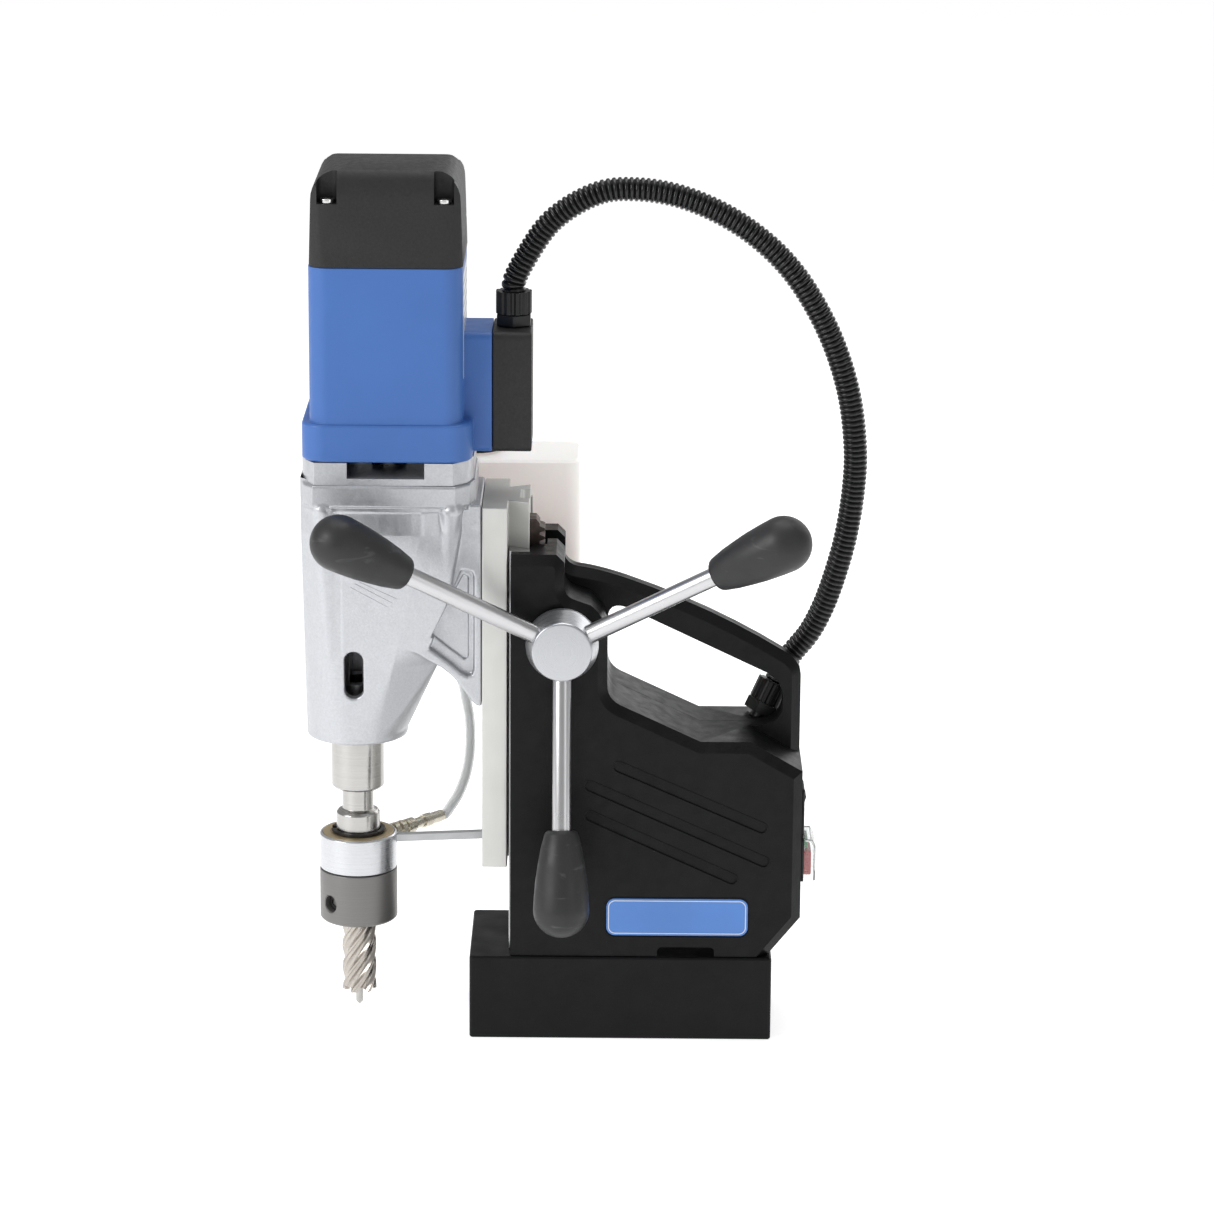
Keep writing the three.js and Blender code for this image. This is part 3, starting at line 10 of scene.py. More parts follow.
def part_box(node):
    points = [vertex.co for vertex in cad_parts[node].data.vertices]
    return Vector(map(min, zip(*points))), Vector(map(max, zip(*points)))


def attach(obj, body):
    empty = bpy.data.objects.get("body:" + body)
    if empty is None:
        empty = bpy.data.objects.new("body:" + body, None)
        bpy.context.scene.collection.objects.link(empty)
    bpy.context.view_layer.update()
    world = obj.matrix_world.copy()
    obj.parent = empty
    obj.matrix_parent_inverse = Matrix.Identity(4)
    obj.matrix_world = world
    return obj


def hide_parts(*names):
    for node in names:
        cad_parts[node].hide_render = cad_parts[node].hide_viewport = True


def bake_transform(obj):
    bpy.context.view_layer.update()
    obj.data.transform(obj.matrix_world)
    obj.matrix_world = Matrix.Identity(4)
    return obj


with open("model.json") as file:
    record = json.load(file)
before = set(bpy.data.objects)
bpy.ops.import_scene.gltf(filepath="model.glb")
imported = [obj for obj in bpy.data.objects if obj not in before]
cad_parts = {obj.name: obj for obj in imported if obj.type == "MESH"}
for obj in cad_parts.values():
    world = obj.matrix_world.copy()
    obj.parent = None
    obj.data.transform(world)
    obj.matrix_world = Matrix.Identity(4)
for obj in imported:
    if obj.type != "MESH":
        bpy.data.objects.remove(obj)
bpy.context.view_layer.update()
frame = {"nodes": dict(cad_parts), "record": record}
NODES = frame["nodes"]
MM = 0.001


def mm(*numbers):
    """A point given in millimetres, in metres."""
    return Vector(n * MM for n in numbers)


# ---------------------------------------------------------------- places that the frame gives

def middle(node):
    low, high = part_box(node)
    return (low + high) / 2


SPINDLE = middle("cooling_ring")  # on the spindle's axis
HUB = middle("feed_shaft")
HUB.y = 0


# ---------------------------------------------------------------- materials

class Look:
    """A Principled material built up from a few procedural layers, in the part's own coordinates."""

    def __init__(self, name, color, roughness, metallic=0.0, **inputs):
        self.material = bpy.data.materials.new(name)
        self.material.use_nodes = True
        self.nodes = self.material.node_tree.nodes
        self.links = self.material.node_tree.links
        self.shader = self.nodes["Principled BSDF"]
        self.color = color
        self.roughness = roughness
        self.shader.inputs["Base Color"].default_value = (*color, 1)
        self.shader.inputs["Roughness"].default_value = roughness
        self.shader.inputs["Metallic"].default_value = metallic
        for key, value in inputs.items():
            self.shader.inputs[key.replace("_", " ")].default_value = value
        self.place = self.add("ShaderNodeTexCoord").outputs["Object"]
        self.last_normal = None

    def add(self, kind, **settings):
        node = self.nodes.new(kind)
        for key, value in settings.items():
            setattr(node, key, value)
        return node

    def stretched(self, scale, turn=(0, 0, 0)):
        mapping = self.add("ShaderNodeMapping")
        mapping.inputs["Scale"].default_value = scale
        mapping.inputs["Rotation"].default_value = turn
        self.links.new(self.place, mapping.inputs["Vector"])
        return mapping.outputs["Vector"]

    def around(self, centre, axis):
        """Coordinates that change only with distance from an axis, and along it."""
        shift = self.add("ShaderNodeVectorMath", operation="SUBTRACT")
        shift.inputs[1].default_value = centre
        self.links.new(self.place, shift.inputs[0])
        split = self.add("ShaderNodeSeparateXYZ")
        self.links.new(shift.outputs[0], split.inputs[0])
        flat = self.add("ShaderNodeVectorMath", operation="MULTIPLY")
        flat.inputs[1].default_value = [0 if i == axis else 1 for i in range(3)]
        self.links.new(shift.outputs[0], flat.inputs[0])
        reach = self.add("ShaderNodeVectorMath", operation="LENGTH")
        self.links.new(flat.outputs[0], reach.inputs[0])
        joined = self.add("ShaderNodeCombineXYZ")
        self.links.new(reach.outputs["Value"], joined.inputs[0])
        self.links.new(split.outputs[axis], joined.inputs[1])
        return joined.outputs[0]

    def noise(self, scale, detail=3.0, vector=None, distortion=0.0):
        texture = self.add("ShaderNodeTexNoise")
        texture.inputs["Scale"].default_value = scale
        texture.inputs["Detail"].default_value = detail
        texture.inputs["Distortion"].default_value = distortion
        self.links.new(vector or self.place, texture.inputs["Vector"])
        return texture.outputs["Fac"]

    def ramp(self, value, low, high, start=0.3, end=0.7):
        spread = self.add("ShaderNodeMapRange")
        for socket, number in zip(spread.inputs[1:5], (start, end, low, high)):
            socket.default_value = number
        self.links.new(value, spread.inputs["Value"])
        return spread.outputs["Result"]

    def tint(self, value, other, start=0.35, end=0.65):
        """Blends the colour towards another one where the value is high."""
        mix = self.add("ShaderNodeMix", data_type="RGBA")
        mix.inputs["A"].default_value = (*self.color, 1)
        mix.inputs["B"].default_value = (*other, 1)
        self.links.new(self.ramp(value, 0, 1, start, end), mix.inputs["Factor"])
        self.links.new(mix.outputs["Result"], self.shader.inputs["Base Color"])
        return self

    def mottle(self, scale, amount, detail=3.0, vector=None):
        darker = [max(c * (1 - amount), 0) for c in self.color]
        return self.tint(self.noise(scale, detail, vector), darker, 0.3, 0.7)

    def polish(self, scale, spread, detail=2.0, vector=None):
        value = self.noise(scale, detail, vector)
        result = self.ramp(value, self.roughness - spread, self.roughness + spread)
        self.links.new(result, self.shader.inputs["Roughness"])
        return self

    def bump(self, scale, height, detail=2.0, vector=None, strength=1.0):
        node = self.add("ShaderNodeBump")
        node.inputs["Distance"].default_value = height
        node.inputs["Strength"].default_value = strength
        self.links.new(self.noise(scale, detail, vector), node.inputs["Height"])
        if self.last_normal:
            self.links.new(self.last_normal, node.inputs["Normal"])
        self.last_normal = node.outputs["Normal"]
        self.links.new(self.last_normal, self.shader.inputs["Normal"])
        return self


def black_paint():
    look = Look("black_paint", (0.0065, 0.0065, 0.0072), 0.4, Specular_IOR_Level=0.15)
    return look.mottle(90, 0.25).polish(60, 0.07).bump(900, 0.00006).bump(30, 0.0002).material


def casting_black():
    look = Look("casting_black", (0.0045, 0.0045, 0.005), 0.38, Specular_IOR_Level=0.17)
    return look.mottle(120, 0.3).polish(150, 0.08).bump(1100, 0.0001, 3).material


def moulded_black():
    look = Look("moulded_black", (0.006, 0.006, 0.0065), 0.36, Specular_IOR_Level=0.35)
    return look.mottle(200, 0.25).polish(80, 0.06).bump(2500, 0.00003).material


def conduit_black():
    look = Look("conduit_black", (0.006, 0.006, 0.0065), 0.27, Specular_IOR_Level=0.45)
    return look.mottle(150, 0.3).polish(60, 0.05).bump(1500, 0.00003).material


def textured_charcoal():
    look = Look("textured_charcoal", (0.021, 0.0205, 0.021), 0.5, Specular_IOR_Level=0.3)
    return look.mottle(700, 0.22).polish(300, 0.06).bump(1500, 0.00012, 4).material


def motor_blue():
    look = Look("motor_blue", (0.05, 0.142, 0.42), 0.42, Specular_IOR_Level=0.4)
    return look.mottle(25, 0.06).polish(120, 0.05).bump(1800, 0.00004, 3).material


def grip_black():
    look = Look("grip_black", (0.024, 0.024, 0.025), 0.46, Specular_IOR_Level=0.35)
    scuffs = look.noise(40, 5, look.stretched((1, 1, 4), (0.3, 0.8, 0)), 1.2)
    look.tint(scuffs, (0.075, 0.075, 0.08), 0.62, 0.8)
    return look.polish(90, 0.1).bump(1600, 0.00006, 3).material


def cast_silver():
    look = Look("cast_silver", (0.53, 0.54, 0.565), 0.36, 0.7)
    return look.mottle(900, 0.12, 4).polish(250, 0.07).bump(1000, 0.00012, 3).material


def milled_plate():
    look = Look("milled_plate", (0.60, 0.60, 0.58), 0.38, 0.6)
    lines = look.stretched((40, 40, 1))
    return look.mottle(60, 0.06).polish(60, 0.08, 3, lines).bump(60, 0.00004, 3, lines).material


def turned(name, color, roughness, centre, axis, metallic=1.0):
    look = Look(name, color, roughness, metallic)
    rings = look.around(centre, axis)
    look.mottle(1500, 0.08, 2, rings).polish(2500, 0.07, 3, rings)
    return look.bump(3500, 0.00001, 2, rings).material


def ground_rod():
    look = Look("ground_rod", (0.56, 0.56, 0.57), 0.3, 1.0)
    return look.mottle(80, 0.03).polish(60, 0.03).bump(2500, 0.0000004).material


def cutter_steel():
    look = Look("cutter_steel", (0.50, 0.465, 0.425), 0.3, 1.0)
    return look.mottle(150, 0.12).polish(300, 0.06, 3).bump(1800, 0.000006, 3).material


def rack_steel():
    look = Look("rack_steel", (0.085, 0.065, 0.058), 0.42, 0.85)
    return look.mottle(200, 0.35).polish(200, 0.1).bump(1200, 0.00006).material


def blackened_steel():
    look = Look("blackened_steel", (0.045, 0.043, 0.042), 0.42, 0.9)
    return look.mottle(250, 0.3).polish(200, 0.1).bump(1400, 0.00004).material


def plain_steel():
    look = Look("plain_steel", (0.5, 0.49, 0.47), 0.32, 1.0)
    return look.mottle(120, 0.12).polish(200, 0.08).bump(1500, 0.00003).material


def bronze():
    look = Look("bronze", (0.43, 0.32, 0.16), 0.42, 0.85)
    return look.mottle(300, 0.2).polish(250, 0.1).bump(1500, 0.00005).material


def nickel():
    look = Look("nickel", (0.62, 0.58, 0.49), 0.24, 1.0)
    return look.mottle(200, 0.15).polish(300, 0.08).bump(1800, 0.00003).material


def copper():
    look = Look("copper", (0.5, 0.2, 0.1), 0.35, 0.9)
    return look.mottle(150, 0.25).bump(600, 0.0002, 1, look.stretched((1, 1, 6))).material


def resin():
    look = Look("resin", (0.022, 0.02, 0.018), 0.5)
    return look.mottle(60, 0.3).polish(40, 0.1).bump(200, 0.0001).material


def circuit_board():
    look = Look("circuit_board", (0.02, 0.16, 0.06), 0.4)
    return look.tint(look.noise(400, 0), (0.05, 0.3, 0.12), 0.5, 0.52).bump(400, 0.0001).material


def label_blue():
    look = Look("label_blue", (0.055, 0.2, 0.58), 0.33, Coat_Weight=0.4, Coat_Roughness=0.12)
    return look.mottle(30, 0.08).polish(100, 0.04).bump(900, 0.00001).material


def label_pale():
    look = Look("label_pale", (0.62, 0.66, 0.72), 0.35, Coat_Weight=0.3)
    return look.mottle(200, 0.06).polish(100, 0.05).bump(900, 0.00001).material


def label_print():
    look = Look("label_print", (0.16, 0.17, 0.19), 0.4)
    return look.mottle(400, 0.2).polish(100, 0.05).bump(900, 0.00001).material


def glossy(name, color):
    look = Look(name, color, 0.22, Coat_Weight=0.3)
    return look.mottle(80, 0.1).polish(100, 0.05).bump(700, 0.00003).material


def clear_plastic():
    look = Look("clear_plastic", (0.95, 0.97, 0.97), 0.08, Transmission_Weight=0.95, IOR=1.4)
    return look.polish(60, 0.04).bump(90, 0.00008).material


def hose_plastic():
    look = Look("hose_plastic", (0.95, 0.96, 0.96), 0.14, Transmission_Weight=0.55, IOR=1.2)
    return look.mottle(60, 0.04).polish(60, 0.05).bump(120, 0.00005).material


def screw_zinc():
    look = Look("screw_zinc", (0.72, 0.72, 0.71), 0.2, 1.0)
    return look.mottle(300, 0.1).polish(300, 0.05).bump(1500, 0.00001).material


def tank_plastic():
    look = Look("tank_plastic", (0.82, 0.82, 0.8), 0.4, Transmission_Weight=0.08,
                Subsurface_Weight=0.3, Subsurface_Scale=0.01)
    # The emission is painted light: the tank glows evenly, standing in for light shining through the
    # translucent plastic.
    look.shader.inputs["Emission Color"].default_value = (1, 1, 0.98, 1)
    look.shader.inputs["Emission Strength"].default_value = 0.22
    return look.mottle(20, 0.03).polish(60, 0.05).bump(700, 0.00006).material


SURFACES = {
    "black_paint": black_paint(),
    "satin_black_casting": casting_black(),
    "black_plastic": moulded_black(),
    "charcoal_plastic": textured_charcoal(),
    "blue_plastic": motor_blue(),
    "grip_plastic": grip_black(),
    "cast_silver": cast_silver(),
    "plate_aluminium": milled_plate(),
    "turned_aluminium": turned("turned_ring", (0.60, 0.61, 0.63), 0.3, SPINDLE, 2, 0.9),
    "bright_steel": ground_rod(),
    "machined_steel": plain_steel(),
    "dark_steel": blackened_steel(),
    "rack_steel": rack_steel(),
    "bronze": bronze(),
    "seal_bronze": bronze(),
    "nickel_brass": nickel(),
    "copper_winding": copper(),
    "resin": resin(),
    "circuit_board": circuit_board(),
    "blue_label": label_blue(),
    "red_plastic": glossy("button_red", (0.62, 0.02, 0.025)),
    "green_plastic": glossy("button_green", (0.03, 0.32, 0.09)),
    "clear_plastic": clear_plastic(),
    "clear_hose": hose_plastic(),
    "tank_plastic": tank_plastic(),
    "screw_zinc": screw_zinc(),
}
SURFACE_OF = {s["node"]: s["material_slot"] for s in frame["record"]["subparts"]}


# ---------------------------------------------------------------- CAD nodes

# Width in millimetres of the rounded edge that each kind of CAD node gets.
SOFT_EDGES = {
    "housing_near": 2.2, "housing_far": 2.2, "magnet_base": 0.9, "motor_housing": 1.3, "motor_cap": 1.3,
    "terminal_cover": 1.4, "gearbox_cover": 0.6, "carriage": 0.5, "coolant_tank": 1.6, "tank_cap": 0.8,
    "magnet_rocker": 0.6, "stop_button": 0.8, "start_button": 0.6, "lower_gland_nut": 0.35,
    "upper_gland_nut": 0.35, "lower_gland_body": 0.5, "upper_gland_body": 0.5, "mains_gland": 0.5,
    "feed_rack": 0.25, "tank_bracket": 0.4, "coolant_tap": 0.5, "magnet_switch_bezel": 0.5,
    "motor_switch_box": 0.5, "switch_hood": 0.4, "gearbox_casting": 0.9, "nameplate": 0.15,
}


def finish_cad_node(name, node):
    node.data.materials.clear()
    node.data.materials.append(SURFACES[SURFACE_OF[name]])
    if "custom_normal" in node.data.attributes:
        node.data.attributes.remove(node.data.attributes["custom_normal"])
    node.data.shade_smooth()
    weld = node.modifiers.new("weld", "WELD")
    weld.merge_threshold = 0.00001
    planar = node.modifiers.new("flat_faces", "DECIMATE")
    planar.decimate_type = "DISSOLVE"
    planar.angle_limit = math.radians(0.8)
    width = SOFT_EDGES.get(name, 0.15)
    bevel = node.modifiers.new("rounded_edges", "BEVEL")
    bevel.width = width * MM
    bevel.segments = 3
    bevel.limit_method = "ANGLE"
    bevel.angle_limit = math.radians(32)
    bevel.harden_normals = True
    bevel.use_clamp_overlap = True


for cad_name, cad_node in NODES.items():
    finish_cad_node(cad_name, cad_node)


# ---------------------------------------------------------------- mesh helpers

def new_piece(name, vertices, faces, material, body, slot, sharp=32):
    mesh = bpy.data.meshes.new(name)
    mesh.from_pydata([tuple(v) for v in vertices], [], faces)
    mesh.materials.append(material)
    mesh.shade_smooth()
    mesh.set_sharp_from_angle(angle=math.radians(sharp))
    piece = bpy.data.objects.new(name, mesh)
    bpy.context.scene.collection.objects.link(piece)
    if body:
        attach(piece, body)
    return piece


def rings_to_faces(count, sides, closed=False):
    faces = []
    for i in range(count if closed else count - 1):
        a, b = i * sides, ((i + 1) % count) * sides
        for k in range(sides):
            j = (k + 1) % sides
            faces.append((a + k, a + j, b + j, b + k))
    return faces


def axes_about(direction):
    direction = Vector(direction).normalized()
    side = direction.cross(Vector((0, 0, 1)))
    if side.length < 1e-6:
        side = Vector((1, 0, 0))
    side.normalize()
    return direction, side, direction.cross(side)


def turn_profile(profile, start, direction, sides=64):
    """Turns a list of [radius, distance along] in millimetres about a line.

    It starts and ends on the line, or else closes on itself round a bore.
    """
    along, side, up = axes_about(direction)
    start = Vector(start)
    vertices, inner = [], [p for p in profile if p[0] > 1e-6]
    for radius, reach in inner:
        for k in range(sides):
            angle = 2 * math.pi * k / sides
            spoke = side * math.cos(angle) + up * math.sin(angle)
            vertices.append(start + along * reach * MM + spoke * radius * MM)
    if len(inner) == len(profile):
        return vertices, rings_to_faces(len(inner), sides, closed=True)
    faces = rings_to_faces(len(inner), sides)
    for (radius, reach), ring, flip in ((profile[0], 0, True), (profile[-1], len(inner) - 1, False)):
        hub = len(vertices)
        vertices.append(start + along * reach * MM)
        for k in range(sides):
            a, b = ring * sides + k, ring * sides + (k + 1) % sides
            faces.append((hub, b, a) if flip else (hub, a, b))
    return vertices, faces


def rounded(profile, radius, steps=4):
    """Rounds each inner corner of a profile by an arc-like curve of that size."""
    result = [profile[0]]
    for before, corner, after in zip(profile, profile[1:], profile[2:]):
        a, b, c = Vector(before), Vector(corner), Vector(after)
        size = min(radius, 0.45 * (a - b).length, 0.45 * (c - b).length)
        start, end = b + (a - b).normalized() * size, b + (c - b).normalized() * size
        for i in range(steps + 1):
            t = i / steps
            point = start * (1 - t) ** 2 + b * 2 * t * (1 - t) + end * t ** 2
            result.append((point.x, point.y))
    result.append(profile[-1])
    return result


def lathe(name, profile, start, direction, surface, body, slot, sides=64, round_by=0.0, nodes=()):
    if round_by:
        profile = rounded(profile, round_by)
    vertices, faces = turn_profile(profile, start, direction, sides)
    piece = new_piece(name, vertices, faces, surface, body, slot)
    if nodes:
        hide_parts(*nodes)
    return piece


def smooth_path(points, step):
    """Points a set distance apart along the centripetal Catmull-Rom curve through a route."""
    points = [Vector(p) for p in points]
    ends = [points[0] * 2 - points[1], *points, points[-1] * 2 - points[-2]]
    dense = []
    for p0, p1, p2, p3 in zip(ends, ends[1:], ends[2:], ends[3:]):
        t = [0.0]
        for a, b in ((p0, p1), (p1, p2), (p2, p3)):
            t.append(t[-1] + max((b - a).length, 1e-9) ** 0.5)
        pieces = max(int((p2 - p1).length / (step / 4)), 2)
        for i in range(pieces):
            u = t[1] + (t[2] - t[1]) * i / pieces
            a1 = p0 * ((t[1] - u) / (t[1] - t[0])) + p1 * ((u - t[0]) / (t[1] - t[0]))
            a2 = p1 * ((t[2] - u) / (t[2] - t[1])) + p2 * ((u - t[1]) / (t[2] - t[1]))
            a3 = p2 * ((t[3] - u) / (t[3] - t[2])) + p3 * ((u - t[2]) / (t[3] - t[2]))
            b1 = a1 * ((t[2] - u) / (t[2] - t[0])) + a2 * ((u - t[0]) / (t[2] - t[0]))
            b2 = a2 * ((t[3] - u) / (t[3] - t[1])) + a3 * ((u - t[1]) / (t[3] - t[1]))
            dense.append(b1 * ((t[2] - u) / (t[2] - t[1])) + b2 * ((u - t[1]) / (t[2] - t[1])))
    dense.append(points[-1])
    reach = [0.0]
    for a, b in zip(dense, dense[1:]):
        reach.append(reach[-1] + (b - a).length)
    count = max(round(reach[-1] / step), 2)
    result, k = [], 0
    for i in range(count + 1):
        goal = reach[-1] * i / count
        while k < len(reach) - 2 and reach[k + 1] < goal:
            k += 1
        span = reach[k + 1] - reach[k]
        result.append(dense[k].lerp(dense[k + 1], (goal - reach[k]) / span if span else 0))
    return result


def sweep(path, radii, sides):
    """A closed tube along a path, with its own radius at each point, and flat ends."""
    directions = [(b - a).normalized() for a, b in zip(path, path[1:])]
    directions.append(directions[-1])
    _, side, _ = axes_about(directions[0])
    vertices = []
    for point, direction, radius in zip(path, directions, radii):
        side = (side - direction * side.dot(direction)).normalized()
        up = direction.cross(side)
        for k in range(sides):
            angle = 2 * math.pi * k / sides
            vertices.append(point + (side * math.cos(angle) + up * math.sin(angle)) * radius)
    faces = rings_to_faces(len(path), sides)
    faces.append(tuple(reversed(range(sides))))
    last = (len(path) - 1) * sides
    faces.append(tuple(last + k for k in range(sides)))
    return vertices, faces


# ---------------------------------------------------------------- camera and stage

def set_camera():
    data = bpy.data.cameras.new("camera")
    data.lens = 131.36
    data.sensor_width = 36
    data.clip_end = 60
    camera = bpy.data.objects.new("camera", data)
    bpy.context.scene.collection.objects.link(camera)
    turn = Matrix.Rotation(math.radians(0.065), 4, "Z")
    pitch = Matrix.Rotation(math.radians(90 - 14.982), 4, "X")
    roll = Matrix.Rotation(math.radians(0.433), 4, "Z")
    camera.matrix_world = Matrix.Translation(mm(-6.17, -2325.05, 856.55)) @ turn @ pitch @ roll
    bpy.context.scene.camera = camera


def area_light(name, place, target, size, power, color=(1, 1, 1)):
    data = bpy.data.lights.new(name, "AREA")
    data.shape = "RECTANGLE"
    data.size, data.size_y = size
    data.energy = power
    data.color = color
    light = bpy.data.objects.new(name, data)
    bpy.context.scene.collection.objects.link(light)
    aim = (Vector(target) - Vector(place)).to_track_quat("-Z", "Y")
    light.matrix_world = Matrix.Translation(place) @ aim.to_matrix().to_4x4()


def set_lights():
    middle_of_machine = (0, 0, 0.24)
    area_light("key", (-1.7, -1.1, 1.2), middle_of_machine, (1.2, 1.2), 26)
    area_light("fill", (1.6, -1.6, 0.8), middle_of_machine, (0.8, 1.5), 4)
    area_light("top", (0, 0.3, 1.9), middle_of_machine, (1.4, 1.2), 14)
    area_light("rim", (0.9, 1.5, 0.9), middle_of_machine, (1.2, 0.8), 6)
    world = bpy.data.worlds.new("studio")
    bpy.context.scene.world = world
    world.use_nodes = True
    sky = world.node_tree.nodes["Background"]
    sky.inputs["Color"].default_value = (1, 1, 1, 1)
    sky.inputs["Strength"].default_value = 0.42
    bpy.context.scene.view_settings.view_transform = "Standard"


def set_floor():
    bpy.ops.mesh.primitive_plane_add(size=24)
    floor = bpy.context.object
    floor.name = "studio_floor"
    look = Look("floor_white", (0.86, 0.86, 0.86), 0.6)
    look.mottle(3, 0.01)
    look.shader.inputs["Emission Color"].default_value = (1, 1, 1, 1)
    look.shader.inputs["Emission Strength"].default_value = 0.62
    floor.data.materials.append(look.material)


set_camera()
set_lights()
set_floor()


# ---------------------------------------------------------------- conduit and coolant hose

def along_line(base, direction, distance):
    return mm(*base) + Vector(direction).normalized() * distance * MM


GLAND_LENGTH = 19.1
LOWER_GLAND = ((76.5, 24.5, 168.2), (0.42, 0.12, 0.9))
UPPER_GLAND = ((-59.7, 0, 390), (0, 0, 1))
CONDUIT_ROUTE = [
    along_line(*LOWER_GLAND, GLAND_LENGTH),
    along_line(*LOWER_GLAND, GLAND_LENGTH + 5),
    mm(93.2, 28.5, 201), mm(102.3, 26.5, 213.5), mm(110, 24, 230), mm(117.6, 20, 255.5),
    mm(121.6, 18, 274), mm(124.6, 15, 299.5), mm(124.8, 12, 321), mm(119.9, 9, 354.6),
    mm(106.8, 6, 390.5), mm(85.7, 4, 423.1), mm(59.7, 3, 445.2), mm(30.4, 2, 459),
    mm(5.3, 1, 463.4), mm(-14.4, 0, 461.6), mm(-38.8, 0, 447), mm(-54, 0, 425.4),
    along_line(*UPPER_GLAND, GLAND_LENGTH + 4),
    along_line(*UPPER_GLAND, GLAND_LENGTH),
]
CONDUIT_DIAMETER = 0.013
RIB_PITCH = 0.0029


def make_conduit():
    """Corrugated conduit: each rib is a rounded ring with a narrow valley beside it."""
    steps_per_rib = 8
    path = smooth_path(CONDUIT_ROUTE, RIB_PITCH / steps_per_rib)
    rib = (0.83, 0.88, 0.97, 1.0, 1.0, 1.0, 0.97, 0.88)
    radii = [CONDUIT_DIAMETER / 2 * rib[i % steps_per_rib] for i in range(len(path))]
    vertices, faces = sweep(path, radii, 28)
    piece = new_piece("conduit_ribbed", vertices, faces, conduit_black(), None, "black_plastic", 60)
    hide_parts("conduit")
    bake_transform(piece)


OUTLET = mm(-90, 71, 178)
PORT_ANGLE = math.radians(49)
PORT_HEIGHT = 99
COUPLING_END = 66.5
HOSE_DIAMETER = 0.0058


def port_point(radius):
    x = SPINDLE.x + radius * MM * math.cos(PORT_ANGLE)
    return Vector((x, radius * MM * math.sin(PORT_ANGLE), PORT_HEIGHT * MM))


HOSE_ROUTE = [
    port_point(COUPLING_END + 0.3), port_point(COUPLING_END + 3), mm(-96, 54.6, 103), mm(-92, 57, 109),
    mm(-88.4, 59.5, 117.5), mm(-86, 62, 128), mm(-85.2, 65.5, 140), mm(-86, 68.5, 152),
    mm(-88.3, 70.5, 164), OUTLET - mm(0, 0, 4), OUTLET - mm(0, 0, 0.3),
]


def make_hose():
    path = smooth_path(HOSE_ROUTE, 0.0008)
    vertices, faces = sweep(path, [HOSE_DIAMETER / 2] * len(path), 28)
    piece = new_piece("coolant_hose_clear", vertices, faces, SURFACES["clear_hose"],
                      "carriage", "clear_hose", 60)
    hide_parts("coolant_hose")
    bore = [HOSE_DIAMETER * 0.3] * len(path)
    vertices, faces = sweep(path, bore, 16)
    water = Look("coolant_in_hose", (0.9, 0.92, 0.93), 0.2, Transmission_Weight=0.3, IOR=1.1)
    new_piece("coolant_hose_bore", vertices, faces, water.mottle(60, 0.1).material,
              "carriage", "clear_hose", 60)


make_conduit()
make_hose()


# ---------------------------------------------------------------- feed capstan

ARM = {"start": 8.5, "tip": 148.3, "root_y": -48.5, "tip_y": -93, "radius": 5, "grip": 57, "inside_grip": 10}
ARM_ANGLES = (-89.7, 30.3, 150.3)
GRIP_END = (15, 42)  # radius of the grip's round end, and where its centre is along the grip


def arm_frame(angle):
    """The point where a feed arm leaves the axis, and its direction."""
    slope = (ARM["tip_y"] - ARM["root_y"]) / ARM["tip"]
    start = Vector((HUB.x, ARM["root_y"] * MM, HUB.z))
    return start, Vector((math.cos(angle), slope, math.sin(angle))), math.hypot(1, slope)


def make_feed_arms():
    round_end, centre = GRIP_END
    grip_profile = [(0, 0), (7.5, 0), (8.5, 0.9), (9.2, 2.2), (11.2, 10), (12.6, 18), (13.8, 26), (14.6, 35)]
    for degrees in range(0, 89, 8):
        bend = math.radians(degrees)
        grip_profile.append((round_end * math.cos(bend), centre + round_end * math.sin(bend)))
    grip_profile.append((0, ARM["grip"]))
    for i, degrees in enumerate(ARM_ANGLES, 1):
        start, direction, steepness = arm_frame(math.radians(degrees))
        tip = ARM["tip"] * steepness
        foot = tip - ARM["grip"]
        rod_length = foot + ARM["inside_grip"] - ARM["start"]
        rod = [(0, 0), (ARM["radius"], 0), (ARM["radius"], rod_length), (0, rod_length)]
        unit = direction.normalized()
        lathe(f"feed_rod_{i}", rod, start + unit * ARM["start"] * MM, unit, SURFACES["bright_steel"],
              "feed", "bright_steel", 48, 0.3, [f"feed_arm_{i}"])
        lathe(f"feed_handle_{i}", grip_profile, start + unit * foot * MM, unit, SURFACES["grip_plastic"],
              "feed", "grip_plastic", 72, 0, [f"feed_grip_{i}"])


def make_feed_hub():
    back = -38.4
    profile = [(0, 0), (17.2, 0), (17.2, 2.4), (19.6, 3), (19.6, 7), (16.1, 20.8), (15.4, 21.6), (0, 21.6)]
    surface = turned("turned_hub", (0.50, 0.51, 0.53), 0.3, HUB, 1, 0.9)
    lathe("feed_hub_turned", profile, Vector((HUB.x, back * MM, HUB.z)), (0, -1, 0), surface,
          "feed", "turned_aluminium", 96, 0.5, ["feed_hub"])


make_feed_arms()
make_feed_hub()


# ---------------------------------------------------------------- spindle, holder and cutter

PIN_BORE = 2.5  # radius of the hole that the pilot pin slides in
RING_BORE = 12.4


def at_spindle(height):
    return Vector((SPINDLE.x, 0, height * MM))


def make_spindle():
    steel = turned("ground_spindle", (0.47, 0.46, 0.445), 0.22, SPINDLE, 2)
    nose = [(0, 131.86), (13, 131.86), (14.44, 133.3), (14.44, 164), (0, 164)]
    lathe("spindle_nose", nose, at_spindle(0), (0, 0, 1), steel, "spindle", "bright_steel", 96, 0.4)
    neck = [(PIN_BORE, 86), (12, 86), (12, 117.2), (10.8, 118.6), (8.55, 119.4), (8.55, 133), (PIN_BORE, 133)]
    lathe("arbor_neck", neck, at_spindle(0), (0, 0, 1), steel,
          "spindle", "bright_steel", 96, 0.4, ["arbor_holder"])


